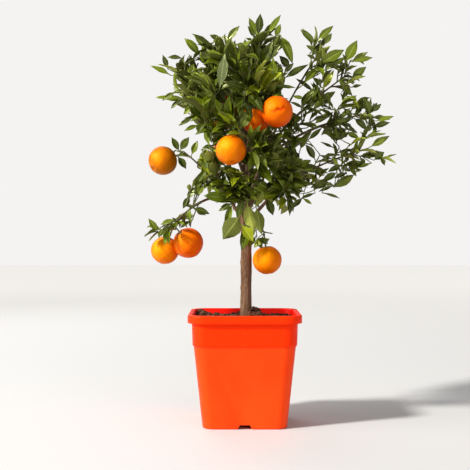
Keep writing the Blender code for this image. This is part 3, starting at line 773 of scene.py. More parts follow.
placing = {
    "widthShare": 0.52,
    "widest": 0.46,
    "cupping": 0.3,
    "rootLength": 7 * mm,
    "clear": 1.0 * mm,
    "apart": 2.4 * mm,
    "spacing": 8.5 * mm,
    "tipLeaves": 2,
    "tipSpacing": 5 * mm,
    "tipTilt": math.radians(35),
    "tilt": math.radians(62),
    "tiltStep": math.radians(12),
    "sizes": (0.76, 1.0),  # smaller than the solids' leaves, and there are more of them
    "turnStray": 0.2,
    "tiltStray": (-0.15, 0.25),
    "lift": (-0.15, 0.2),
    "ahead": 0.5,
    "up": 0.75,
    "out": 0.8,
    "stray": 0.3,
    "sidewards": 40 * mm,  # how far a leaf's own way counts in which side it faces
    "bareStem": 0.1,
    "bareTwig": 0.2,
    "tries": 10,
    "turnShift": 0,
    "stations": 12,  # places along a branch that a sprig or a stalk may set off from
    "stalkSink": 4 * mm,
    "hungFromTip": "low_fruit",  # the mass whose fruit hangs from its stem's tip
}

# the finer shoots that the solids leave out, and the leaves that fill in
finer = {
    "shoots": 9,  # in a full mass
    "length": (18 * mm, 32 * mm),
    "spread": (30, 62),
    "lift": 0.25,
    "radius": 0.85 * mm,
    "shootClear": 1.6 * mm,
    "clear": 0.4 * mm,
    "apart": 1.3 * mm,
    "spacing": 6.5 * mm,
    "laps": 2,
    "widthShare": 0.4,
    "sizes": (0.62, 0.92),
    "tries": 6,
    "along": (0.3, 0.9),
    "shorter": (1, 0.75),
    "bare": 0.15,
    "last": 0.99,  # how far along a branch a leaf sits at the most
    "turnShift": 0.3,
    "lapTurn": 1 / 3,
    "sprigBow": 0.12,
    "showyFace": Vector((0.15, -1, 0.35)),
}

# openings that show sky from the front, as seen in the plane of the trunk: x, z, half width
# and half height in millimetres
openings = [
    (-65, 649, 28, 14), (-3, 646, 9, 14), (-111, 620, 14, 14), (-140, 558, 13, 20),
    (-135, 512, 26, 18), (-93, 486, 22, 13), (-93, 455, 28, 17), (-93, 415, 23, 18),
    (-126, 387, 20, 15), (-122, 352, 24, 14), (87, 615, 10, 15), (78, 591, 15, 10), (87, 560, 22, 18),
    (153, 567, 8, 12), (140, 550, 8, 9), (120, 461, 12, 12), (93, 447, 9, 12), (133, 446, 15, 10),
    (168, 509, 8, 10), (128, 367, 20, 16), (82, 340, 8, 8), (174, 388, 22, 14), (60, 314, 25, 28),
    (62, 601, 8, 10), (-55, 354, 12, 8), (-140, 618, 10, 20), (-37, 654, 12, 15), (154, 626, 11, 10),
    (67, 555, 11, 17), (77, 639, 14, 32), (-147, 603, 9, 12), (-117, 592, 6, 9), (-23, 655, 10, 14),
    (46, 678, 12, 9), (204, 543, 14, 6), (80, 545, 20, 10), (84, 520, 9, 16), (180, 493, 8, 8),
    (164, 459, 9, 11), (211, 408, 14, 13), (243, 420, 8, 10), (156, 372, 14, 18), (102, 358, 12, 14),
    (40, 336, 9, 16), (-46, 338, 9, 8), (-76, 322, 12, 16), (115, 661, 6, 9), (-115, 456, 12, 14),
    (-101, 384, 8, 12), (29, 350, 8, 12), (2, 336, 9, 22), (-3, 658, 9, 13), (35, 658, 6, 11),
    (62, 655, 8, 16), (99, 602, 9, 13), (176, 600, 7, 8), (232, 520, 6, 12), (204, 461, 8, 8),
    (236, 453, 14, 7), (-128, 553, 12, 8), (-146, 594, 13, 6), (-70, 370, 12, 12), (-48, 355, 9, 9),
    (-137, 336, 14, 8), (-102, 512, 10, 12), (-98, 303, 14, 12), (-129, 618, 7, 16), (-6, 634, 9, 10),
    (213, 462, 9, 9), (220, 408, 12, 10), (198, 404, 8, 9), (153, 536, 7, 10), (-30, 346, 10, 8),
    (-27, 344, 9, 11), (-112, 535, 8, 8), (101, 436, 8, 7), (113, 425, 8, 6), (121, 436, 7, 5),
    (130, 420, 8, 5), (52, 425, 6, 9), (121, 499, 6, 8), (-95, 613, 9, 9), (-130, 545, 13, 5),
    (-66, 466, 8, 9), (-106, 366, 9, 6), (186, 398, 7, 12), (226, 513, 5, 8), (184, 612, 11, 6),
]

seenFrom = {
    "x": -15.7 * mm,
    "z": 309 * mm,
    "distance": 1.7,
    "mostHidden": 0.25,  # of a leaf, past which it is left out
    "mostBefore": 0.2,
    "showyShare": 0.4,  # of a large leaf's width, to each side, that is kept clear
    "pastRoot": 0.1,  # of its length, which may be covered
    "wholeFruit": (0, 1, 3, 4, 5),
}

# sprigs that stand out, by mass: each one's tip and the length of its leaves
sprigs = {
    "leader": [
        ((56, -16, 618), 48), ((14, -6, 636), 50),
    ],
    "left": [
        ((-92, -6, 602), 48), ((-120, -6, 574), 32),
    ],
    "right": [
        ((128, -4, 624), 44),
    ],
    "low_right": [
        ((210, -6, 438), 26), ((176, -10, 415), 40), ((150, -24, 470), 36),
    ],
    "top_left": [
        ((-66, -40, 578), 48),
    ],
    "hanging": [
        ((-136, -24, 324), 34), ((-122, -28, 328), 34), ((-84, -20, 349), 34), ((-84, -20, 402), 34),
        ((-92, -20, 378), 34),
    ],
    "front_left": [
        ((-80, -70, 512), 48),
    ],
    "front_middle": [
        ((44, -70, 472), 46),
    ],
    "inner_right": [
        ((58, -30, 484), 46), ((84, -10, 478), 44), ((70, -24, 462), 44),
    ],
    "far_right": [
        ((206, -4, 484), 38), ((216, 2, 506), 38), ((120, -20, 520), 38),
    ],
    "upper_right": [
        ((168, 0, 538), 40), ((178, 8, 600), 42), ((120, -10, 560), 40),
    ],
    "bottom_right": [
        ((87, -50, 375), 42), ((156, -20, 394), 28),
    ],
    "under_right": [
        ((37, -60, 347), 46), ((50, -62, 371), 46), ((66, -58, 352), 46),
    ],
}

# leaves that stand out, by mass: root and tip in millimetres, width as a share of the length,
# and tint, with Under where the underside shows
showyLeaves = {
    "leader": [
        ((50, -10, 633), (59, -10, 656), 0.42, "green"),
        ((58, -20, 636), (78, -24, 588), 0.35, "green"), ((22, -5, 637), (26, -5, 674), 0.38, "old"),
        ((19, -8, 637), (7, -8, 667), 0.36, "green"), ((74, -6, 583), (57, -8, 604), 0.55, "old"),
        ((64, -6, 566), (106, -8, 590), 0.24, "old"), ((38, -5, 640), (60, -5, 672), 0.26, "green"),
        ((17, -8, 632), (5, -8, 653), 0.4, "old"), ((64, -8, 574), (81, -8, 592), 0.4, "old"),
    ],
    "left": [
        ((-101, -10, 599), (-127, -10, 601), 0.34, "old"),
        ((-73, -10, 603), (-99, -12, 632), 0.38, "green"),
        ((-121, -4, 572), (-156, -4, 588), 0.26, "green"),
        ((-126, -6, 582), (-135, -6, 606), 0.36, "old"),
    ],
    "right": [
        ((131, -4, 622), (144, -4, 642), 0.42, "old"), ((118, 0, 624), (92, 0, 649), 0.36, "old"),
        ((119, 0, 628), (147, 0, 655), 0.33, "green"), ((126, 0, 593), (165, 0, 615), 0.44, "green"),
        ((140, 0, 585), (168, 0, 603), 0.3, "old"), ((131, -6, 580), (146, -6, 593), 0.5, "old"),
        ((116, -4, 611), (101, -4, 622), 0.4, "old"), ((118, -4, 598), (102, -4, 606), 0.4, "old"),
    ],
    "low_right": [
        ((207, 0, 454), (240, 0, 473), 0.34, "green"),
        ((229, -6, 436), (251, -6, 442), 0.16, "green"), ((213, -6, 432), (230, -6, 446), 0.6, "old"),
        ((223, -6, 436), (231, -6, 423), 0.5, "old"), ((148, 0, 453), (125, 0, 463), 0.22, "old"),
        ((146, 0, 434), (123, 0, 441), 0.22, "old"), ((148, 0, 464), (174, 0, 478), 0.28, "green"),
        ((105, 0, 466), (128, 0, 486), 0.3, "old"), ((210, 0, 428), (186, 0, 420), 0.25, "green"),
        ((171, 0, 405), (149, 0, 390), 0.26, "old"),
        ((183, -10, 410), (144, -10, 387), 0.36, "oldUnder"),
        ((170, -8, 425), (184, -8, 405), 0.4, "green"), ((117, 0, 433), (101, 0, 459), 0.45, "old"),
    ],
    "low_left": [
        ((-107, -12, 446), (-120, -12, 470), 0.42, "old"),
        ((-106, -12, 447), (-91, -12, 470), 0.48, "old"),
        ((-110, -12, 438), (-96, -12, 417), 0.52, "old"),
        ((-87, -12, 440), (-77, -12, 464), 0.44, "green"),
    ],
    "low_front": [
        ((-26, -60, 366), (-66, -60, 372), 0.48, "old"),
        ((-20, -60, 360), (-42, -60, 347), 0.44, "old"),
    ],
    "low_fruit": [
        ((22, -22, 304), (38, -26, 294), 0.55, "old"), ((30, -18, 306), (15, -20, 288), 0.5, "young"),
        ((25, -20, 295), (41, -24, 303), 0.5, "green"), ((20, -18, 301), (29, -22, 286), 0.5, "old"),
    ],
    "trunk_front": [
        ((-7, -68, 341), (-35, -70, 302), 0.66, "greenUnder"),
        ((-6, -66, 326), (14, -66, 297), 0.5, "young"),
        ((3, -64, 362), (15, -64, 308), 0.4, "youngUnder"),
        ((18, -62, 354), (27, -62, 310), 0.48, "greenUnder"),
        ((-2, -66, 367), (-13, -66, 335), 0.42, "old"),
    ],
    "top_left": [
        ((-30, -20, 624), (-8, -20, 651), 0.35, "green"),
        ((-37, -10, 626), (-58, -10, 638), 0.42, "old"),
    ],
    "mid_left": [
        ((-84, -20, 520), (-100, -20, 506), 0.5, "green"),
        ((-112, -20, 543), (-135, -20, 528), 0.32, "green"),
        ((-105, -20, 530), (-121, -20, 515), 0.36, "old"),
        ((-84, -20, 501), (-108, -22, 487), 0.3, "old"),
        ((-74, -22, 489), (-100, -24, 478), 0.3, "green"),
    ],
    "hanging": [
        ((-62, -20, 417), (-77, -20, 394), 0.42, "old"),
        ((-68, -20, 405), (-82, -20, 382), 0.4, "green"),
        ((-79, -20, 389), (-94, -20, 367), 0.45, "old"),
        ((-65, -20, 392), (-80, -20, 371), 0.38, "green"),
        ((-89, -20, 373), (-101, -20, 352), 0.45, "old"),
        ((-141, -26, 314), (-157, -26, 336), 0.42, "green"),
        ((-84, -20, 353), (-57, -20, 343), 0.4, "old"),
    ],
    "inner_left": [
        ((-50, -20, 455), (-70, -20, 451), 0.35, "old"),
    ],
    "front_left": [
        ((-59, -100, 477), (-36, -104, 485), 0.4, "tinted"),
        ((-50, -60, 547), (-31, -62, 519), 0.5, "old"),
        # painted sheen: this leaf's pale tint stands for the light on its gloss
        ((-40, -108, 534), (-31, -112, 590), 0.3, "pale"),
    ],
    "front_right": [
        ((42, -92, 542), (80, -92, 539), 0.2, "old"), ((-3, -114, 518), (11, -114, 487), 0.38, "old"),
    ],
    "front_middle": [
        ((-8, -114, 470), (10, -114, 505), 0.42, "green"),
    ],
    "inner_right": [
        ((118, -10, 530), (100, -10, 516), 0.5, "old"),
        ((100, -20, 531), (76, -20, 536), 0.28, "green"),
        ((95, -20, 516), (74, -20, 526), 0.28, "old"),
    ],
    "far_right": [
        ((207, 0, 506), (197, 0, 537), 0.44, "old"), ((211, 0, 512), (226, 0, 526), 0.42, "old"),
        ((217, 0, 497), (247, 0, 505), 0.28, "green"), ((210, 0, 486), (241, 0, 495), 0.34, "old"),
        ((151, 0, 502), (121, 0, 519), 0.2, "old"), ((154, 0, 497), (176, 0, 520), 0.26, "green"),
        ((163, 0, 519), (178, 0, 502), 0.5, "old"), ((181, 0, 502), (202, 0, 482), 0.5, "old"),
        ((166, 0, 479), (191, 0, 468), 0.4, "green"), ((168, -4, 471), (146, -4, 466), 0.3, "old"),
    ],
    "upper_right": [
        ((166, 5, 594), (187, 5, 632), 0.42, "green"), ((178, 5, 596), (213, 5, 603), 0.3, "green"),
        ((176, 5, 566), (202, 5, 588), 0.42, "old"), ((178, 0, 539), (155, 0, 567), 0.36, "green"),
        ((176, 0, 553), (194, 0, 557), 0.36, "old"), ((115, 0, 545), (84, 0, 568), 0.22, "old"),
        ((128, 0, 548), (148, 0, 582), 0.3, "young"), ((128, 0, 552), (112, 0, 570), 0.4, "old"),
    ],
    "bottom_right": [
        ((131, -10, 398), (108, -10, 386), 0.34, "green"),
        ((168, -10, 412), (146, -10, 402), 0.36, "old"),
        ((160, -16, 424), (136, -16, 412), 0.36, "old"),
        ((116, -10, 378), (92, -10, 369), 0.24, "old"),
        ((146, -10, 390), (121, -10, 380), 0.24, "old"),
        ((141, -12, 395), (112, -12, 384), 0.32, "old"),
        ((152, -14, 412), (127, -14, 396), 0.42, "old"),
        ((126, -20, 378), (157, -20, 368), 0.16, "green"),
        ((95, -20, 369), (110, -20, 359), 0.36, "young"),
    ],
    "under_right": [
        ((34, -60, 367), (45, -60, 340), 0.52, "old"),
    ],
}

untaken = Vector((0.31, 0.95, 0.07))  # a direction that no limb, twig or leaf takes
Rod = namedtuple("Rod", "owner start end radius")
Leaf = namedtuple("Leaf", "root way face length")


class Curve:
    # a quadratic curve; its middle point sets the way it sets out

    def __init__(self, start, middle, end):
        self.start, self.middle, self.end = start, middle, end

    def blossom(self, s, t):
        return self.start * (1 - s) * (1 - t) + self.middle * (s + t - 2 * s * t) + self.end * s * t

    def point(self, t):
        return self.blossom(t, t)

    def part(self, s, t):
        return Curve(self.blossom(s, s), self.blossom(s, t), self.blossom(t, t))

    def heading(self, t):
        way = (self.middle - self.start) * (1 - t) + (self.end - self.middle) * t
        return way.normalized()

    def points(self, count):
        return [self.point(i / (count - 1)) for i in range(count)]

    def length(self):
        points = self.points(9)
        return sum((b - a).length for a, b in zip(points, points[1:]))


def across(way, turn):
    # a unit vector at right angles to way, turned about it
    first = way.cross(untaken).normalized()
    return Matrix.Rotation(turn, 3, way) @ first


def limbCurves():
    middle = (trunk["foot"] + trunk["tip"]) / 2 + Vector((trunk["bow"], 0, 0))
    curves = {"trunk": Curve(trunk["foot"], middle, trunk["tip"])}
    for name, limb in limbs.items():
        start = curves[limb.carrier].point(limb.share)
        along = curves[limb.carrier].heading(limb.share)
        if limb.share == 1:
            start = start + along * growth["gap"]
        chord = Vector(limb.tip) * mm - start
        way = along
        if limb.share < 1:
            way = along * growth["setOut"] + chord.normalized() * (1 - growth["setOut"])
            way = way.normalized()
        curves[name] = Curve(start, start + way * chord.length * growth["bendAt"], start + chord)
    return curves


# The wood: trunk and boughs grown together, with the bark's relief

barkLook = {
    "streaks": (0.38, 0.66, 5),  # low, high and detail of their patches
    "broad": (0.35, 0.65, 2),
    "broader": 5,  # times as broad as the streaks
    "specks": (420, 0.60, 0.72, 2),
    "roughness": (0.62, 0.9),
    "streakRelief": (0.35 * mm, 0.7),  # depth and strength
    "speckRelief": (0.15 * mm, 0.5),
}


def barkFinish(name, colour, pale, dark, lines, young=None):
    # streaks that follow each limb, on the grain attribute: X and Y round it, Z along it
    finish = Finish(name, 0.8, {"Specular IOR Level": 0.35})
    grain = finish.mark("grain", "Vector")
    streaks = finish.patches(lines, *barkLook["streaks"], grain)
    broad = finish.patches(lines / barkLook["broader"], *barkLook["broad"], grain)
    specks = finish.patches(*barkLook["specks"])
    tone = finish.blend(broad, colour, pale, 0.75)
    if young:
        upper = finish.above(trunk["youngFrom"], trunk["youngFade"])
        tone = finish.blend(upper, tone, young, 0.75)
    tone = finish.blend(streaks, tone, dark, 0.6)
    finish.colour(finish.blend(specks, tone, pale, 0.6))
    finish.gloss(streaks, *barkLook["roughness"])
    finish.bump(streaks, *barkLook["streakRelief"], finish.bump(specks, *barkLook["speckRelief"]))
    return finish.material


def taperedTubes(name, runs):
    # one curve object with a spline for each run of (point, radius)
    data = bpy.data.curves.new(name, "CURVE")
    data.dimensions = "3D"
    data.bevel_depth = 1
    data.bevel_resolution = 5
    data.use_fill_caps = True
    for run in runs:
        spline = data.splines.new("POLY")
        spline.points.add(len(run) - 1)
        for point, (place, radius) in zip(spline.points, run):
            point.co = (*place, 1)
            point.radius = radius
    holder = bpy.data.objects.new(name, data)
    bpy.context.scene.collection.objects.link(holder)
    bpy.context.view_layer.update()
    evaluated = holder.evaluated_get(bpy.context.evaluated_depsgraph_get())
    mesh = bpy.data.meshes.new_from_object(evaluated)
    bpy.data.objects.remove(holder)
    return mesh


def woodRuns(curves):
    runs = []
    barkFoot, barkTip = trunk["radius"] + trunk["bark"][0], trunk["tipRadius"] + trunk["bark"][1]
    for name, curve in curves.items():
        if name in limbs:
            run, last, collar = [], growth["boughShare"], trunk["collar"]
            footRadius, tipRadius = limbs[name].radius * mm, growth["boughTip"]
        else:
            run, last, collar = [(trunk["foot"] - up * trunk["sunk"], barkFoot)], 1, 0
            footRadius, tipRadius = barkFoot, barkTip
        for step in range(trunk["steps"] + 1):
            share = step / trunk["steps"]
            swell = 1 + collar * math.exp(-share * trunk["collarFade"])
            radius = footRadius + (tipRadius - footRadius) * share
            run.append((curve.point(share * last), radius * swell))
        runs.append((name, run))
    return runs


def grainPlaces(runs):
    # a tree of points along the limbs' axes, each with its heading, radius and distance along
    places = []
    parts = 4
    for name, run in runs:
        along = 0.0
        for (start, r0), (end, r1) in zip(run, run[1:]):
            length = (end - start).length
            way = (end - start) / length
            for share in (part / parts for part in range(parts)):
                places.append((start.lerp(end, share), way, r0 + (r1 - r0) * share,
                               along + length * share, name))
            along += length
    tree = kdtree.KDTree(len(places))
    for number, place in enumerate(places):
        tree.insert(place[0], number)
    tree.balance()
    return tree, places


def nearestPlace(point, tree, places):
    # the place whose surface is nearest, among the nearest few
    near = [places[number] for _, number, _ in tree.find_n(point, 6)]
    return min(near, key=lambda place: (point - place[0]).length - place[2])


def trunkSwell(point, turn):
    # root flare, unevenness and the knobs of old shoots
    height = max(0.0, point.z - trunk["foot"].z)
    swell = trunk["flare"] * math.exp(-height / trunk["flareHeight"])
    swell *= 1 + trunk["rootSwell"] * math.cos(trunk["roots"] * turn + 0.6)
    swell += trunk["unevenness"] * trunk["radius"] * math.sin(2 * turn + height * 96)
    for z, degrees, radius, out in trunk["knobs"]:
        aside = (turn - math.radians(degrees) + math.pi) % math.tau - math.pi
        gap = math.hypot(point.z - z * mm, aside * trunk["radius"]) / (radius * mm)
        swell += out * mm * math.exp(-gap * gap)
    return swell


def barkRelief(mesh, runs):
    tree, places = grainPlaces(runs)
    points, normals = vertexArray(mesh, "co"), vertexArray(mesh, "normal")
    grain = np.empty_like(points)
    for number, (co, normal) in enumerate(zip(points, normals)):
        point = Vector(co)
        centre, way, radius, along, name = nearestPlace(point, tree, places)
        out = point - centre
        ahead = out.dot(way)
        out = (out - way * ahead).normalized()
        spot = Vector((out.x * radius, out.y * radius, (along + ahead) * trunk["grainStretch"]))
        if abs(way.z) < 0.7:
            side = across(way, 0)
            spot.x, spot.y = out.dot(side) * radius, out.dot(way.cross(side)) * radius
        grain[number] = spot
        share = radius / trunk["radius"]
        height = noise.noise(spot * trunk["ridgeScale"]) * trunk["ridges"] * share
        crack = abs(noise.noise(spot * trunk["crackScale"] + Vector((7, 0, 0))))
        height -= crack * trunk["cracks"] * share
        if name == "trunk":
            height += trunkSwell(point, math.atan2(out.y, out.x))
        points[number] = co + normal * height
    mesh.vertices.foreach_set("co", points.ravel())
    writeMark(mesh, "grain", grain)
    mesh.update()


def makeWood(curves):
    runs = woodRuns(curves)
    wood = placePiece("wood", taperedTubes("wood", [run for _, run in runs]), [])
    remesh = wood.modifiers.new("grow together", "REMESH")
    remesh.mode = "VOXEL"
    remesh.voxel_size = trunk["voxel"]
    applyModifiers(wood)
    bm = bmesh.new()
    bm.from_mesh(wood.data)
    for _ in range(trunk["smoothing"]):
        bmesh.ops.smooth_vert(bm, verts=bm.verts[:], factor=0.5, use_axis_x=True,
                              use_axis_y=True, use_axis_z=True)
    bm.to_mesh(wood.data)
    bm.free()
    barkRelief(wood.data, runs)
    wood.data.materials.clear()
    wood.data.materials.append(barkFinish("bark", trunk["colour"], trunk["paleColour"],
                                          trunk["darkColour"], trunk["streakScale"],
                                          trunk["youngColour"]))
    wood.data.shade_smooth()
    standsFor(wood, woodNodes)


# Foliage: the space of each mass, and what grows in it

# the mass that bears it, its centre and its radius
fruits = [
    ("low_left", (-134, -12, 431), 23.0),
    ("hanging", (-92, -26, 296), 24.0),
    ("hanging", (-131, -8, 284), 22.3),
    ("low_fruit", (37, -16, 268), 23.0),
    ("front_left", (-22, -125, 439), 22.6),
    ("front_right", (49, -115, 499), 23.6),
    ("front_right", (16, -86, 490), 21.5),
    ("back_left", (-44, 124, 548), 22.6),
    ("back_middle", (-31, 116, 459), 22.4),
    ("back_right", (50, 134, 531), 22.8),
]


def rodsOf(owner, curve, footRadius, tipRadius, steps=growth["steps"]):
    points = curve.points(steps + 1)
    taper = (tipRadius - footRadius) / steps
    return [Rod(owner, points[i], points[i + 1], footRadius + taper * i) for i in range(steps)]


def distances(points, rods):
    # each point's distance to the nearest rod's surface
    start = np.array([rod.start for rod in rods])
    along = np.array([rod.end for rod in rods]) - start
    radius = np.array([rod.radius for rod in rods])
    away = points[:, None, :] - start[None, :, :]
    share = np.clip((away * along).sum(2) / (along**2).sum(1), 0, 1)
    nearest = away - share[:, :, None] * along
    return (np.linalg.norm(nearest, axis=2) - radius).min(1)


def nearSideMiddle(turn, sides):
    step = 2 * math.pi / sides
    middle = (math.floor(turn / step) + 0.5) * step
    return middle + (turn - middle) * growth["sideStray"]


def leafPlaces(twig, bare, spacing):
    # how far along a twig each of its leaves sits, from the tip down, and its tilt
    length = twig.length()
    places = []
    back = placing["tipSpacing"]
    while back < length * (1 - bare):
        tilt = min(placing["tipTilt"] + placing["tiltStep"] * len(places), placing["tilt"])
        places.append((1 - back / length, tilt))
        back += placing["tipSpacing"] if len(places) < placing["tipLeaves"] else spacing
    return places


def leafAt(rng, twig, share, turn, tilt, length):
    # its upper face looks to the twig's tip, the sky and out of the crown
    along = twig.heading(share)
    root = twig.point(share)
    tilt += rng.uniform(*placing["tiltStray"])
    way = along * math.cos(tilt) + across(along, turn) * math.sin(tilt)
    way = (way + up * rng.uniform(*placing["lift"])).normalized()
    side = math.copysign(1, root.y + way.y * placing["sidewards"])
    outwards = (Vector((root.x, root.y, 0)).normalized() + Vector((0, side, 0))).normalized()
    face = along * placing["ahead"] + up * placing["up"] + outwards * placing["out"]
    face += across(way, rng.uniform(0, 2 * math.pi)) * placing["stray"]
    face = (face - way * face.dot(way)).normalized()
    return Leaf(root, way, face, length)


def inTrunkPlane(points):
    # where the points lie in the plane of the trunk, as they are seen from the front
    scale = seenFrom["distance"] / (seenFrom["distance"] + points[:, 1])
    x = seenFrom["x"] + (points[:, 0] - seenFrom["x"]) * scale
    z = seenFrom["z"] + (points[:, 2] - seenFrom["z"]) * scale
    return x, z


def inOpening(points):
    # the share of the points that lie in one of the openings
    x, z = inTrunkPlane(points)
    inside = np.zeros(len(points), bool)
    for middle, height, halfWidth, halfHeight in openings:
        inside |= ((x / mm - middle) / halfWidth) ** 2 + ((z / mm - height) / halfHeight) ** 2 < 1
    return inside.mean()


def beforeShown(points, shown):
    # the share of the points that lie before a leaf or a fruit that is to be seen whole
    place = np.stack(inTrunkPlane(points), 1)
    inside = np.zeros(len(points), bool)
    for root, tip, half, depth in shown:
        way = tip - root
        length = np.linalg.norm(way)
        along = (place - root) @ way / length**2
        aside = np.abs((place - root) @ np.array([-way[1], way[0]])) / length
        inLength = (along > seenFrom["pastRoot"]) & (along < 1)
        inside |= inLength & (aside < half) & (points[:, 1] < depth)
    return inside.mean()


leafNet = [(x, y) for x in (0.14, 0.3, 0.45, 0.6, 0.75, 0.88, 1) for y in (-1, 0, 1)]


def netPoints(leaf, widthShare=placing["widthShare"]):
    # a net of points over the blade, for the tests of whether it fits
    side = leaf.way.cross(leaf.face)
    points = []
    for along, aside in leafNet:
        widest = placing["widest"]
        taper = along / widest if along < widest else (1 - along) / (1 - widest)
        half = leaf.length * widthShare / 2 * taper
        lifted = leaf.face * abs(aside) * half * placing["cupping"]
        points.append(leaf.root + leaf.way * leaf.length * along + side * aside * half + lifted)
    return np.array(points)


class Mass:
    # a mass of foliage: its stem, the space it keeps to, and what has grown in it

    def __init__(self, name, curve):
        self.name = name
        self.leafLength = limbs[name].leafLength * mm
        self.fullness = limbs[name].fullness
        self.stem = curve.part(growth["boughShare"] + growth["gap"] / curve.length(), 1)
        self.axis = rodsOf("axis " + name, self.stem, 0, 0)
        self.fruit = [(Vector(c) * mm, r * mm) for bearer, c, r in fruits if bearer == name]
        self.twigs = []
        self.stalks = []
        self.shoots = []
        self.leaves = []  # each with the branch it grows on and how far along
        self.blades = []
        self.joints = []  # how far along which branch a shoot or a stalk sets off
        self.showy = []  # the large leaves, each with its branch, width and tint
        self.sprigLeaf = {}  # the length of a sprig's leaves, by its branch

    def holds(self, points, margin, others):
        own = distances(points, self.axis)
        return ((own + margin < growth["reach"]).all()
                and (own + 2 * margin < distances(points, others)).all())

    def nearRods(self, rods):
        own = ("bough " + self.name, "stem " + self.name)
        middle = self.stem.point(0.5)
        within = growth["reach"] + self.stem.length() / 2
        return [rod for rod in rods if rod.owner not in own
                and (rod.start - middle).length < within + rod.radius + (rod.end - rod.start).length]

    def growTwigs(self, rods, axes):
        count = max(growth["fewestTwigs"], round(self.stem.length() / growth["twigSpacing"]))
        for number in range(count):
            rng = random.Random(f"{self.name} twig {number}")
            first, last = growth["firstTwig"], growth["lastTwig"]
            share = first + (last - first) * number / (count - 1)
            stray = growth["twigTurnStray"]
            turn = number * growth["goldenTurn"] + rng.uniform(-stray, stray)
            turn = nearSideMiddle(turn, growth["stemSides"])
            spread = math.radians(rng.uniform(*growth["twigSpread"]))
            length = growth["twigLength"] * (1 - growth["twigTaper"] * share)
            length *= rng.uniform(*growth["twigSizes"])
            along = self.stem.heading(share)
            way = along * math.cos(spread) + across(along, turn) * math.sin(spread)
            way += up * growth["twigLift"]
            twig = self.roomFor(self.stem.point(share), way * length, growth["shorter"],
                                growth["twigRadius"], growth["twigClear"], rods, axes)
            if twig:
                self.twigs.append(twig)
                rods += rodsOf("twig " + self.name, twig, growth["twigRadius"], growth["twigRadius"])

    def roomFor(self, start, reach, shorter, radius, clear, rods, axes):
        # the longest straight twig that fits, or None
        for less in shorter:
            twig = Curve(start, start + reach * less / 2, start + reach * less)
            outer = np.array(twig.points(9)[2:])
            if self.holds(outer, radius, axes) and distances(outer, rods).min() > clear:
                return twig
        return None

    def hangFruit(self):
        for centre, radius in self.fruit:
            start = self.nearestBranch(centre)
            if self.name == placing["hungFromTip"]:
                start = self.stem.end
                self.joints.append((0, 1))
            end = centre + (start - centre).normalized() * (radius - placing["stalkSink"])
            self.stalks.append(Curve(start, (start + end) / 2, end))

    def nearestBranch(self, point):
        steps = placing["stations"]
        places = [(number, i / steps, twig.point(i / steps))
                  for number, twig in enumerate([self.stem, *self.twigs])
                  for i in range(steps // 3, steps + 1)]
        number, share, start = min(places, key=lambda place: (place[2] - point).length)
        self.joints.append((number, share))
        return start

    def ownRods(self, branches, radius, steps=1):
        rods = rodsOf(0, self.stem, growth["boughTip"], growth["stemTip"])
        for number, branch in enumerate(branches, 1):
            rods += rodsOf(number, branch, radius, radius, steps)
        return rods

    def setLeaves(self, foreign, axes):
        # by the golden angle down the stem and each twig, where they fit
        own = self.ownRods(self.twigs + self.stalks, growth["twigRadius"])
        spacing = placing["spacing"] / math.sqrt(min(1, self.fullness))
        for number, twig in enumerate([self.stem, *self.twigs]):
            rng = random.Random(f"{self.name} leaves {number}")
            sides = growth["twigSides"] if number else growth["stemSides"]
            bare = placing["bareTwig"] if number else placing["bareStem"]
            room = (foreign + [rod for rod in own if rod.owner != number], own, axes)
            for i, (share, tilt) in enumerate(leafPlaces(twig, bare, spacing)):
                self.growLeaf(rng, twig, number, share, tilt, i, placing, room, sides)

    def growLeaf(self, rng, branch, number, share, tilt, turns, rule, room, sides=None):
        # a leaf at this place on the branch, if any turn finds room for it
        most = self.sprigLeaf.get(number, self.leafLength)
        for attempt in range(rule["tries"]):
            turn = (turns + attempt / 2 + rule["turnShift"]) * growth["goldenTurn"]
            turn += rng.uniform(-placing["turnStray"], placing["turnStray"])
            if sides:
                turn = nearSideMiddle(turn, sides)
            leaf = leafAt(rng, branch, share, turn, tilt, most * rng.uniform(*rule["sizes"]))
            if self.fits(leaf, rule, *room):
                self.leaves.append((leaf, number, share))
                return

    def growShoots(self, foreign, axes):
        # finer shoots off the stem and twigs, with smaller leaves, and leaves between
        rods = foreign + self.ownRods(self.twigs + self.stalks, growth["twigRadius"], 2)
        bearers = [self.stem, *self.twigs]
        for number in range(round(finer["shoots"] * self.fullness)):
            rng = random.Random(f"{self.name} shoot {number}")
            bearer = bearers[number % len(bearers)]
            share = rng.uniform(*finer["along"])
            along = bearer.heading(share)
            spread = math.radians(rng.uniform(*finer["spread"]))
            turn = rng.uniform(0, math.tau)
            way = along * math.cos(spread) + across(along, turn) * math.sin(spread)
            reach = (way + up * finer["lift"]) * rng.uniform(*finer["length"])
            shoot = self.roomFor(bearer.point(share), reach, finer["shorter"], finer["radius"],
                                 finer["shootClear"], rods, axes)
            if shoot and inOpening(np.array(shoot.points(5))) == 0:
                self.shoots.append(shoot)
                self.joints.append((number % len(bearers), share))
                rods += rodsOf("shoot", shoot, finer["radius"], finer["radius"], 1)

    def addSprigs(self):
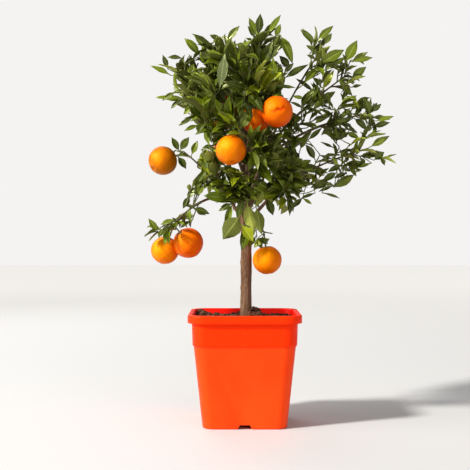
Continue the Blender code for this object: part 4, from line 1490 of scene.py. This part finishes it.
        # bowed shoots to the tips that stand out and short ones to the large leaves, each from
        # the nearest branch
        self.grown = len(self.twigs) + len(self.shoots)
        for tip, length in sprigs.get(self.name, []):
            end = Vector(tip) * mm
            start = self.nearestBranch(end)
            bow = (start + end) / 2 - up * (end - start).length * finer["sprigBow"]
            self.shoots.append(Curve(start, bow, end))
            self.sprigLeaf[len(self.twigs) + len(self.shoots)] = length * mm
        for root, tip, width, tint in showyLeaves.get(self.name, []):
            root, tip = Vector(root) * mm, Vector(tip) * mm
            start = self.nearestBranch(root)
            self.shoots.append(Curve(start, (start + root) / 2, root))
            way = (tip - root).normalized()
            face = finer["showyFace"] * (-1 if tint.endswith("Under") else 1)
            face = (face - way * face.dot(way)).normalized()
            leaf = Leaf(root, way, face, (tip - root).length)
            self.blades.append((netPoints(leaf), netPoints(leaf).mean(0)))
            branch = len(self.twigs) + len(self.shoots)
            self.showy.append((leaf, branch, width, tint.removesuffix("Under")))

    def outlines(self):
        # root, tip, half width and depth of each large leaf, as seen from the front
        for leaf, _, width, _ in self.showy:
            ends = np.array([leaf.root, leaf.root + leaf.way * leaf.length])
            root, tip = np.stack(inTrunkPlane(ends), 1)
            yield root, tip, leaf.length * width * seenFrom["showyShare"], leaf.root.y

    def openSky(self, shown):
        # leaves in an opening or before what is shown whole go, and the bare ends of branches
        # with them
        self.leaves = [place for place in self.leaves
                       if inOpening(netPoints(place[0])) < seenFrom["mostHidden"]
                       and beforeShown(netPoints(place[0]), shown) < seenFrom["mostBefore"]]
        kept = self.joints + [(branch, share) for _, branch, share in self.leaves]
        kept += [(branch, 1) for _, branch, _, _ in self.showy]
        self.drawn = [max((share for branch, share in kept if branch == number), default=0)
                      for number in range(1 + len(self.twigs) + len(self.shoots))]

    def fillIn(self, foreign, axes):
        # smaller leaves between the others, a lap at a time
        branches = [self.stem, *self.twigs, *self.shoots]
        own = self.ownRods(branches[1:] + self.stalks, finer["radius"])
        for lap in range(finer["laps"]):
            for number, branch in enumerate(branches):
                rng = random.Random(f"{self.name} filling {number} {lap}")
                room = (foreign + [rod for rod in own if rod.owner != number], own,
                        axes if number <= self.grown else [])
                shift = (lap + 1) / (finer["laps"] + 1) * finer["spacing"] / branch.length()
                for i, (share, tilt) in enumerate(leafPlaces(branch, finer["bare"], finer["spacing"])):
                    if rng.random() > self.fullness:
                        continue
                    share = min(share + shift, finer["last"])
                    turns = i + lap * finer["lapTurn"]
                    self.growLeaf(rng, branch, number, share, tilt, turns, finer, room)

    def fits(self, leaf, rule, foreign, own, axes):
        points = netPoints(leaf, rule["widthShare"])
        if axes and not self.holds(points, rule["clear"] / 2, axes):
            return False
        if distances(points, foreign).min() < rule["clear"]:
            return False
        blade = points[np.linalg.norm(points - np.array(leaf.root), axis=1) > placing["rootLength"]]
        if distances(blade, own).min() < rule["clear"]:
            return False
        middle = blade.mean(0)
        for others, otherMiddle in self.blades:
            if np.linalg.norm(middle - otherMiddle) > 2 * self.leafLength:
                continue
            if np.linalg.norm(blade[:, None, :] - others[None, :, :], axis=2).min() < rule["apart"]:
                return False
        self.blades.append((blade, middle))
        return True


def fruitDiscs():
    # the fruits that are to be seen whole: ends of a width, radius and depth, from the front
    for _, centre, radius in [fruits[number] for number in seenFrom["wholeFruit"]]:
        ends = np.array([centre, centre]) * mm + np.array([[-radius, 0, 0], [radius, 0, 0]]) * mm
        yield *np.stack(inTrunkPlane(ends), 1), radius * mm, centre[1] * mm


def growFoliage(curves):
    masses = [Mass(name, curves[name]) for name in limbs]
    rods = rodsOf("trunk", curves["trunk"], trunk["radius"], trunk["tipRadius"])
    for mass in masses:
        bough = curves[mass.name].part(0, growth["boughShare"])
        rods += rodsOf("bough " + mass.name, bough, limbs[mass.name].radius * mm, growth["boughTip"])
        rods += rodsOf("stem " + mass.name, mass.stem, growth["boughTip"], growth["stemTip"])
        rods += [Rod("fruit", centre, centre + up * growth["gap"], radius)
                 for centre, radius in mass.fruit]
    for mass in masses:
        foreign = mass.nearRods(rods)
        axes = [rod for other in masses if other is not mass for rod in other.axis]
        mass.growTwigs(list(foreign), axes)
        mass.hangFruit()
        mass.setLeaves(foreign, axes)
        main = len(mass.leaves)
        mass.growShoots(foreign, axes)
        mass.addSprigs()
        mass.fillIn(foreign, axes)
        print(f"{mass.name}: {len(mass.twigs)} twigs, {len(mass.shoots)} finer shoots, "
              f"{main} main leaves, {len(mass.leaves)} in all")
    shown = [outline for mass in masses for outline in mass.outlines()] + list(fruitDiscs())
    for mass in masses:
        mass.openSky(shown)
    print("leaves in all:", sum(len(mass.leaves) + len(mass.showy) for mass in masses))
    print("finer shoots in all:", sum(len(mass.shoots) for mass in masses))
    return masses


# Leaves: one leaf's net, bent and folded for each copy, in tints dealt out by spray

leafShape = {
    # along the leaf: share of its length and of its half width, the petiole first
    "outline": [(0, 0.06), (0.11, 0.06), (0.20, 0.44), (0.34, 0.86), (0.50, 1.0), (0.70, 0.77),
                (0.87, 0.33), (1, 0)],
    "strips": 4,
    "widths": (0.30, 0.41),  # of its length
    "fold": (14, 44),  # degrees
    "bend": (5, 42),
    "twist": 16,
    "wave": 0.022,
    "midribDepth": 0.9 * mm,
    "bladeDepth": 0.42 * mm,
    "petioleDepth": 1.3 * mm,
    "petioleEnd": 0.15,
    "petioleHalf": 0.85 * mm,
    "waves": (9, 13),
    "twistFrom": 0.2,
    "showyFold": 0.5,  # of the fold, in a large leaf
    "narrower": 0.92,  # in a mass with leaves shorter than narrowUnder
    "narrowUnder": 48 * mm,
}

# by tint: upper colour, underside colour, how often it is dealt
leafTints = {
    "old": ((0.036, 0.052, 0.001), (0.09, 0.105, 0.015), 7),
    "green": ((0.080, 0.108, 0.0015), (0.13, 0.15, 0.025), 9),
    "young": ((0.16, 0.185, 0.002), (0.22, 0.24, 0.04), 1.2),
    "tinted": ((0.18, 0.10, 0.003), (0.22, 0.17, 0.04), 0),
    # pale: painted sheen, a paler tint for one large leaf's gloss
    "pale": ((0.25, 0.30, 0.12), (0.28, 0.33, 0.15), 0),
}

# in each pair the upper side comes first, then the underside
leafLook = {
    "endings": ("Leaf", "LeafUnderside"),
    "specular": (0.42, 0.2),
    "specularTint": (1.0, 1.0, 0.52, 1),
    "shades": (0.5, 1.55),  # of the tint, from the darkest leaf to the palest
    "blotches": (90, 0.4, 0.7, 4),  # patches: scale, low, high and detail
    "blotchShade": 0.72,
    "shine": (60, 0.3, 0.7, 3),
    "grain": (900, 0.2, 0.8, 2),
    "grainRelief": (0.06 * mm, 0.4),
    "veinDepth": 0.25 * mm,
    "veinColour": (2.2, 0.04),  # how much of the tint, and how much white on top
    "sideVeins": (0.2, 0.1),
    "midrib": (0.8, 0.4),
    "roughness": ((0.23, 0.38), (0.5, 0.68)),
    "relief": (-0.5, 0.5),
    "youngShoots": 2.5,  # how much oftener a finer shoot is young
}


def leafFinish(tint, side):
    # side: 0 is the upper side, 1 the underside
    colour = leafTints[tint][side]
    finish = Finish(tint + leafLook["endings"][side], 0.4, {
        "Specular IOR Level": leafLook["specular"][side],
        "Specular Tint": leafLook["specularTint"],
    })
    uvMap = addNode(finish.tree, "UVMap", {"uv_map": "alongLeaf"}).outputs["UV"]
    veins = finish.shared("veins", {"Vector": uvMap})
    share, white = leafLook["veinColour"]
    pale = tuple(min(1, c * share + white) for c in colour)
    dark, light = leafLook["shades"]
    tone = finish.blend(finish.mark("shade"), scaled(colour, dark), scaled(colour, light))
    blotches = finish.patches(*leafLook["blotches"])
    tone = finish.blend(blotches, tone, scaled(colour, leafLook["blotchShade"]), 0.5)
    tone = finish.blend(veins["Side"], tone, pale, leafLook["sideVeins"][side])
    finish.colour(finish.blend(veins["Midrib"], tone, pale, leafLook["midrib"][side]))
    finish.gloss(finish.patches(*leafLook["shine"]), *leafLook["roughness"][side])
    base = finish.bump(veins["Side"], leafLook["veinDepth"], leafLook["relief"][side])
    finish.bump(finish.patches(*leafLook["grain"]), *leafLook["grainRelief"], base)
    return finish.material


def leafTemplate():
    # a grid whose rows are the outline's stations, doubled below with shared edges
    rows = len(leafShape["outline"])
    strips = leafShape["strips"]
    bm = bmesh.new()
    bmesh.ops.create_grid(bm, x_segments=rows - 1, y_segments=strips, size=1)
    for v in bm.verts:
        row = round((v.co.x + 1) / 2 * (rows - 1))
        aside = round(v.co.y * strips / 2) / (strips / 2)
        v.co = (row, aside if row < rows - 1 else 0, 0)
    below = bmesh.ops.duplicate(bm, geom=bm.faces[:] + bm.edges[:] + bm.verts[:])["geom"]
    bmesh.ops.reverse_faces(bm, faces=[g for g in below if isinstance(g, bmesh.types.BMFace)])
    for v in [g for g in below if isinstance(g, bmesh.types.BMVert)]:
        if abs(v.co.y) < 1 and v.co.x < rows - 1:
            v.co.z = -1
    bmesh.ops.remove_doubles(bm, verts=bm.verts[:], dist=0.001)
    bmesh.ops.dissolve_degenerate(bm, edges=bm.edges[:], dist=0.0001)
    bm.faces.ensure_lookup_table()
    topFaces = [min(v.co.z for v in f.verts) > -0.5 for f in bm.faces]
    return template(bm), topFaces


def leafCopy(points, leaf, rng, narrow, width=None):
    # the blade's net laid along an arc, folded on its midrib, twisted and waved
    station = np.array(leafShape["outline"])[points[:, 0].astype(int)]
    t, aside, below = station[:, 0], points[:, 1], -points[:, 2]
    petiole = t < leafShape["petioleEnd"]
    share = width or rng.uniform(*leafShape["widths"]) * narrow
    half = station[:, 1] * share / 2 * leaf.length
    half[petiole] = leafShape["petioleHalf"]
    bend = math.radians(rng.uniform(*leafShape["bend"]))
    fold = math.radians(rng.uniform(*leafShape["fold"])) * (leafShape["showyFold"] if width else 1)
    twist = math.radians(rng.uniform(-1, 1) * leafShape["twist"])
    angle = bend * (0.5 - t)
    reach = (bend / 2) / math.sin(bend / 2) * leaf.length / bend
    ahead = (math.sin(bend / 2) - np.sin(angle)) * reach
    rise = (np.cos(angle) - math.cos(bend / 2)) * reach
    way, face = np.array(leaf.way), np.array(leaf.face)
    side = np.cross(way, face)
    arched = face * np.cos(angle)[:, None] - way * np.sin(angle)[:, None]
    turn = (twist * (t - leafShape["twistFrom"]))[:, None]
    out = side * np.cos(turn) + arched * np.sin(turn)
    above = arched * np.cos(turn) - side * np.sin(turn)
    phase = t * rng.uniform(*leafShape["waves"]) + aside * 2 + rng.uniform(0, 6)
    wave = leafShape["wave"] * leaf.length * np.sin(phase) * (np.abs(aside) ** 2 * ~petiole)
    lift = np.abs(aside) * half * math.sin(fold) + wave
    depth = np.where(aside == 0, leafShape["midribDepth"], leafShape["bladeDepth"])
    depth = np.where(petiole, leafShape["petioleDepth"], depth) * below
    shaped = np.array(leaf.root) + way * ahead[:, None] + face * rise[:, None]
    shaped += out * (aside * half * math.cos(fold))[:, None]
    return shaped + above * (lift - depth)[:, None]


def familyOf(name):
    # the limb on the trunk that carries it
    while limbs[name].carrier != "trunk":
        name = limbs[name].carrier
    return name


def dealTint(rng, finerShoot):
    weights = {tint: row[2] for tint, row in leafTints.items()}
    if finerShoot:
        weights["young"] *= leafLook["youngShoots"]
    return rng.choices(range(len(weights)), list(weights.values()))[0]


def bladesOf(mass):
    # each leaf of a mass with its own random stream, its width where that is set, and its tint
    tints = {}
    for number, (leaf, branch, _) in enumerate(mass.leaves):
        rng = random.Random(f"{mass.name} blade {number}")
        if branch not in tints:
            tints[branch] = dealTint(rng, branch > len(mass.twigs))
        yield leaf, rng, None, tints[branch]
    for number, (leaf, _, width, tint) in enumerate(mass.showy):
        rng = random.Random(f"{mass.name} showy {number}")
        yield leaf, rng, width, list(leafTints).index(tint)


def makeLeaves(masses):
    (points, faces), topFaces = leafTemplate()
    finishes = [leafFinish(tint, side) for tint in leafTints for side in (0, 1)]
    sides = np.array([not top for top in topFaces])
    uvs = np.array([(leafShape["outline"][int(p[0])][0], (p[1] + 1) / 2) for p in points])
    for family in sorted({familyOf(mass.name) for mass in masses}):
        copies, slots, shades = [], [], []
        members = [mass for mass in masses if familyOf(mass.name) == family]
        for mass in members:
            narrow = leafShape["narrower"] if mass.leafLength < leafShape["narrowUnder"] else 1
            for leaf, rng, width, tint in bladesOf(mass):
                copies.append(leafCopy(points, leaf, rng, narrow, width))
                slots.append(2 * tint + sides)
                shades.append(np.full(len(points), rng.random()))
        piece = joinCopies("leaves_" + family, faces, copies, finishes, slots, uvs, {"shade": shades})
        piece.data.shade_smooth()
        markCreases(piece.data, points)
        standsFor(piece, ["foliage_" + mass.name for mass in members])


def markCreases(mesh, points):
    # the midrib above, and the edge of the blade, stay crisp
    edges = np.empty(len(mesh.edges) * 2, np.int32)
    mesh.edges.foreach_get("vertices", edges)
    ends = edges.reshape(-1, 2) % len(points)
    aside = np.abs(points[ends, 1])
    crisp = (aside == 1).all(1) | ((aside == 0).all(1) & (points[ends, 2] == 0).all(1))
    layer = mesh.attributes.new("sharp_edge", "BOOLEAN", "EDGE")
    layer.data.foreach_set("value", crisp)


# Twigs: stems, twigs, finer shoots and fruit stalks

twigLook = {
    "sides": 7,
    "segments": 5,
    "stemTip": 1.2 * mm,
    "twigRadii": (1.25 * mm, 0.8 * mm),
    "shootRadii": (0.95 * mm, 0.6 * mm),
    "stalkRadii": (1.1 * mm, 1.5 * mm),
    "bow": 0.9 * mm,
    "nodes": 0.14,  # how much a twig swells at its leaves
    "nodeSpacing": 9 * mm,
    "green": (0.115, 0.135, 0.032),
    "paleGreen": (0.26, 0.27, 0.085),
    "darkGreen": (0.055, 0.062, 0.016),
    "streakScale": 1400,
}


def tubeTemplate():
    bm = bmesh.new()
    bmesh.ops.create_cone(bm, cap_ends=True, segments=twigLook["sides"], radius1=1, radius2=1,
                          depth=1, matrix=Matrix.Translation((0, 0, 0.5)))
    rails = [e for e in bm.edges if abs(e.verts[0].co.z - e.verts[1].co.z) > 0.5]
    bmesh.ops.subdivide_edges(bm, edges=rails, cuts=twigLook["segments"] - 1)
    return template(bm)


def tubeCopy(points, curve, footRadius, tipRadius, rng):
    # the tube's net laid round a curve, a little crooked, with swollen nodes
    shaped, grain = [], []
    bow = across(curve.heading(0.5), rng.uniform(0, math.tau)) * rng.uniform(0, twigLook["bow"])
    length = curve.length()
    for x, y, t in points:
        way = curve.heading(t)
        side = across(way, 0)
        radius = footRadius + (tipRadius - footRadius) * t
        radius *= 1 + twigLook["nodes"] * math.sin(t * length / twigLook["nodeSpacing"] * math.tau)
        out = (side * x + way.cross(side) * y) * radius
        shaped.append(curve.point(t) + bow * math.sin(math.pi * t) + out)
        grain.append((x * radius, y * radius, t * length * trunk["grainStretch"]))
    return np.array(shaped), np.array(grain)


def makeTwigs(masses):
    points, faces = tubeTemplate()
    copies, grains, slots = [], [], []

    def lay(curve, radii, slot, label):
        shaped, grain = tubeCopy(points, curve, *radii, random.Random(label))
        copies.append(shaped)
        grains.append(grain)
        slots.append(np.full(len(faces), slot))

    for mass in masses:
        for number, branch in enumerate([mass.stem, *mass.twigs, *mass.shoots]):
            if mass.drawn[number] == 0:
                continue
            radii, slot = twigLook["twigRadii"], number % 2
            if number == 0:
                radii = (growth["boughTip"], twigLook["stemTip"])
            elif number > len(mass.twigs):
                radii, slot = twigLook["shootRadii"], 1
            lay(branch.part(0, mass.drawn[number]), radii, slot, f"{mass.name} branch {number}")
        for number, stalk in enumerate(mass.stalks):
            lay(stalk, twigLook["stalkRadii"], 1, f"{mass.name} stalk look {number}")
    young, green, lines = trunk["youngColour"], twigLook["green"], twigLook["streakScale"]
    finishes = [
        barkFinish("twigBark", young, green, trunk["darkColour"], lines),
        barkFinish("greenTwig", green, twigLook["paleGreen"], twigLook["darkGreen"], lines),
    ]
    piece = joinCopies("twigs", faces, copies, finishes, slots, None, {"grain": grains})
    shadeRound(piece, 60)
    standsFor(piece, foliageNodes)


# Fruit: slightly flattened, dimpled, sunk at the stalk and puckered at the other end

rind = {
    "colour": (0.80, 0.115, 0.0003),
    "deepColour": (0.62, 0.055, 0.0002),
    # painted light: the first of these two is a fruit's lit side; the yellower fruits take it in
    # patches as their base and the second on their lit side
    "yellowerAndLitColour": (0.92, 0.205, 0.0005),
    "goldenLitColour": (0.95, 0.32, 0.001),
    # painted shade: a darker red in the crease and at the puckered end
    "puckerShadeColour": (0.45, 0.012, 0.0002),
    "dullColour": (0.36, 0.10, 0.001),
    "golden": (0, 2, 3, 4, 8),  # the ones that are yellower
    # the ones that are still a little brown, and how much, and how much less on the painted lit side
    "dull": {0: 1.0, 2: 0.3, 3: 0.25, 4: 0.45, 5: 0.1, 8: 0.25},
    "dullInSun": 0.65,
    "paintedLightReach": 0.8,  # how far round the painted lit side spreads, in radians
    "mottle": (0.35, 2.2),  # height and noise scale
    "sheen": {"Specular IOR Level": 0.16, "Specular Tint": (1.0, 0.75, 0.2, 1)},
    "deepPatches": (22, 0.35, 0.65),  # scale, low, high and detail
    "shine": (70, 0.3, 0.7),
    "roughness": (0.34, 0.5),
    "glands": {"Scale": 780.0, "Edge": 0.55},
    "glandRelief": (0.22 * mm, 0.55),  # depth and strength
    "grain": (260, 0.3, 0.7, 2),
    "grainRelief": (0.25 * mm, 0.4),
    "skin": 0.8 * mm,  # over the radius that the leaves keep clear of
    "flattening": 0.03,
    "stalkDip": (0.07, 0.26),  # depth as a share of the radius, and width in radians
    "furrows": 6,
    "furrow": (0.012, 0.35, 0.3),  # depth, place and width
    "pucker": (0.06, 0.17),
    "puckerLobes": 5,
    "puckerRim": (0.018, 0.33, 0.14),
    "lumps": (0.02, 1.3),  # height and noise scale
    "dimples": (0.004, 11),
    "creaseWidth": 0.1,
    "creaseLength": 0.52,
    "creaseDepth": 0.06,
    "facing": {5: (0.12, -1, 0.05)},  # where a fruit's puckered end looks, if not from its stalk
}

calyx = {
    "radius": 4.6 * mm,
    "lobes": 5,
    "lobing": 0.34,
    "depth": 1.4 * mm,
    "seat": 0.925,  # of the fruit's radius
    "colour": (0.11, 0.15, 0.03),
    "palePatches": (500, 0.4, 0.65),
    "shine": (300, 0.3, 0.7),
    "roughness": (0.5, 0.75),
    "grain": (700, 0.3, 0.7),
    "relief": (0.15 * mm, 0.5),
}


def rindFinish(name, deep, colour, yellowerAndLit):
    finish = Finish(name, 0.45, rind["sheen"])
    tone = finish.blend(finish.patches(*rind["deepPatches"]), deep, colour, 0.7)
    # painted light: a yellower colour on the lit side
    tone = finish.blend(finish.mark("cheek"), tone, yellowerAndLit)
    glands = finish.shared("pits", rind["glands"])["Height"]
    tone = finish.blend(glands, deep, tone, 0.9)
    tone = finish.blend(finish.mark("dull"), tone, rind["dullColour"])
    # painted shade in the crease and at the puckered end
    finish.colour(finish.blend(finish.mark("scar"), tone, rind["puckerShadeColour"]))
    finish.gloss(finish.patches(*rind["shine"]), *rind["roughness"])
    base = finish.bump(finish.patches(*rind["grain"]), *rind["grainRelief"])
    finish.bump(glands, *rind["glandRelief"], base)
    return finish.material


def fruitCopy(points, centre, radius, axis, seed, wrinkled):
    # axis points from the fruit's middle to its stalk
    along = points @ np.array(axis)
    polar = np.arccos(np.clip(along, -1, 1))
    end = math.pi - polar
    first = np.array(across(axis, 0))
    second = np.cross(np.array(axis), first)
    turn = np.arctan2(points @ second, points @ first)
    size = 1 - rind["flattening"] * along**2
    depth, width = rind["stalkDip"]
    size -= depth * hump(polar, width)
    depth, place, width = rind["furrow"]
    size += depth * np.cos(rind["furrows"] * turn + seed) * hump(polar - place, width)
    depth, width = rind["pucker"]
    size -= depth * hump(end, width)
    depth, place, width = rind["puckerRim"]
    size += depth * hump(end - place, width) * (1 + 0.6 * np.cos(rind["puckerLobes"] * turn + seed))
    for label, offset in (("lumps", (seed, 0, 0)), ("dimples", (0, seed, 0))):
        height, scale = rind[label]
        size += height * noiseOver(points, scale, offset)
    crease = np.abs(points @ first + 0.05 * np.sin(points @ second * 14)) / rind["creaseWidth"]
    crease = np.exp(-(crease**2) - ((points @ second / rind["creaseLength"]) ** 4)) * (along < 0)
    # the crease of a wrinkled fruit, and the puckered end of the others, is sunk and painted darker as
    # shade
    scar = crease if wrinkled else hump(end, 0.1)
    size -= rind["creaseDepth"] * scar
    return np.array(centre) + points * (size * radius)[:, None], scar * (0.9 if wrinkled else 0.5)


def paintedLitSide(points, centre, seed):
    # painted light: yellower on the side that looks out of the crown, to the sky and to the left, as
    # if lit there
    out = Vector((-0.4, math.copysign(1, centre.y), 0.3))
    facing = np.arccos(np.clip(points @ np.array(out.normalized()), -1, 1))
    height, scale = rind["mottle"]
    mottle = height * noiseOver(points, scale, (0, 0, seed))
    return np.clip(hump(facing, rind["paintedLightReach"]) + mottle, 0, 1)


def makeFruit(masses):
    bm = bmesh.new()
    bmesh.ops.create_icosphere(bm, subdivisions=5, radius=1)
    points, faces = template(bm)
    copies, slots, seats = [], [], []
    marks = {"scar": [], "cheek": [], "dull": []}
    places = [Vector(centre) * mm for _, centre, _ in fruits]
    for mass in masses:
        for (centre, radius), stalk in zip(mass.fruit, mass.stalks):
            number = places.index(centre)
            axis = -stalk.heading(1)
            seats.append((centre, radius, axis))
            facing = rind["facing"].get(number)
            looks = -Vector(facing).normalized() if facing else axis
            shaped, scar = fruitCopy(points, centre, radius + rind["skin"], looks, number * 3.7,
                                     bool(facing))
            cheek = paintedLitSide(points, centre, number * 1.9)
            copies.append(shaped)
            marks["scar"].append(scar)
            marks["cheek"].append(cheek)
            marks["dull"].append(rind["dull"].get(number, 0.0) * (1 - rind["dullInSun"] * cheek))
            slots.append(np.full(len(faces), number in rind["golden"]))
    deep, colour, yellowerAndLit, golden = [rind[tone] for tone in (
        "deepColour", "colour", "yellowerAndLitColour", "goldenLitColour")]
    finishes = [
        rindFinish("rind", deep, colour, yellowerAndLit),
        rindFinish("goldenRind", colour, yellowerAndLit, golden),
    ]
    piece = joinCopies("fruit", faces, copies, finishes, slots, None, marks)
    piece.data.shade_smooth()
    bearers = sorted({"foliage_" + mass.name for mass in masses if mass.fruit})
    standsFor(piece, bearers)
    makeCalyxes(seats, bearers)


def calyxTemplate():
    # a small five-lobed cup, closed below
    bm = bmesh.new()
    bmesh.ops.create_cone(bm, cap_ends=True, cap_tris=True, segments=4 * calyx["lobes"],
                          radius1=1, radius2=0.45, depth=1)
    for v in bm.verts:
        lobe = 1 + calyx["lobing"] * math.cos(calyx["lobes"] * math.atan2(v.co.y, v.co.x))
        v.co.x *= lobe
        v.co.y *= lobe
    return template(bm)


def makeCalyxes(seats, bearers):
    points, faces = calyxTemplate()
    finish = Finish("calyxGreen", 0.6)
    pale = finish.patches(*calyx["palePatches"])
    finish.colour(finish.blend(pale, calyx["colour"], twigLook["paleGreen"], 0.6))
    finish.gloss(finish.patches(*calyx["shine"]), *calyx["roughness"])
    finish.bump(finish.patches(*calyx["grain"]), *calyx["relief"])
    copies, slots = [], []
    size = np.array([calyx["radius"], calyx["radius"], calyx["depth"]])
    for centre, radius, axis in seats:
        turn = np.array(axis.to_track_quat("Z", "Y").to_matrix())
        seat = np.array(centre) + np.array(axis) * (radius * calyx["seat"])
        copies.append((points * size) @ turn.T + seat)
        slots.append(np.zeros(len(faces)))
    piece = joinCopies("calyxes", faces, copies, [finish.material], slots)
    shadeRound(piece, 35)
    standsFor(piece, bearers)


def growTree():
    curves = limbCurves()
    makeWood(curves)
    masses = growFoliage(curves)
    makeTwigs(masses)
    makeLeaves(masses)
    makeFruit(masses)


growTree()


# The camera, the light and the floor

view = {
    "place": (-0.0157, -1.7, 0.309),
    "turn": (90, 0, 0),  # degrees
    "lens": 78.8,
}

light = {
    "sun": ((-1.12, -0.72, 0.95), 5.2, 7),  # where it comes from, strength, width in degrees
    "softbox": ((-2.3, -0.7, 1.1), 1.9, 36.0),  # place, size, watts
    "fill": ((0.9, -2.2, 1.2), 2.2, 17.0),
    "rear": ((-0.9, 1.9, 1.7), 1.6, 14.0),
    "sunColour": (1.0, 0.975, 0.93),
    "aim": Vector((0.02, 0, 0.36)),
    "sky": (1.0, 0.985, 0.965, 1),
    "skyStrength": 0.30,
    "wall": (0.905, 0.895, 0.885, 1),  # what the camera sees behind the plant
    "floor": (0.58, 0.578, 0.575),
    "farFloor": (0.77, 0.767, 0.764),
    "farFrom": (0.7, 5.0),
    "floorReach": 9.0,
}


def setCamera():
    data = bpy.data.cameras.new("camera")
    data.lens = view["lens"]
    data.sensor_width = 36
    data.clip_start = 0.05
    camera = bpy.data.objects.new("camera", data)
    camera.location = view["place"]
    camera.rotation_euler = [math.radians(a) for a in view["turn"]]
    bpy.context.scene.collection.objects.link(camera)
    bpy.context.scene.camera = camera


def addLamp(name, kind, place, energy):
    data = bpy.data.lights.new(name, kind)
    data.energy = energy
    lamp = bpy.data.objects.new(name, data)
    lamp.location = place
    lamp.rotation_euler = (light["aim"] - Vector(place)).to_track_quat("-Z", "Y").to_euler()
    bpy.context.scene.collection.objects.link(lamp)
    return data


def setLights():
    place, strength, width = light["sun"]
    sun = addLamp("sun", "SUN", light["aim"] + Vector(place), strength)
    sun.angle = math.radians(width)
    sun.color = light["sunColour"]
    for name in ("softbox", "fill", "rear"):
        place, size, watts = light[name]
        lamp = addLamp(name, "AREA", place, watts)
        lamp.shape = "DISK"
        lamp.size = size


def setWorld():
    world = bpy.data.worlds.new("studio")
    world.use_nodes = True
    tree = world.node_tree
    sky = tree.nodes["Background"]
    sky.inputs["Color"].default_value = light["sky"]
    sky.inputs["Strength"].default_value = light["skyStrength"]
    wall = addNode(tree, "Background", None, {"Color": light["wall"]})
    seen = addNode(tree, "LightPath").outputs["Is Camera Ray"]
    either = addNode(tree, "MixShader", None, {0: seen, 1: sky.outputs[0], 2: wall.outputs[0]})
    tree.links.new(either.outputs[0], tree.nodes["World Output"].inputs["Surface"])
    bpy.context.scene.world = world


def setFloor():
    bm = bmesh.new()
    bmesh.ops.create_circle(bm, cap_ends=True, segments=96, radius=light["floorReach"])
    finish = Finish("paleFloor", 0.6)
    finish.colour(finish.blend(finish.beyond(*light["farFrom"]), light["floor"], light["farFloor"]))
    floor = newPiece("floor", bm, [finish.material])


setCamera()
setLights()
setWorld()
setFloor()
bpy.context.scene.view_settings.view_transform = "Standard"
print("camera, lights and floor are in place")
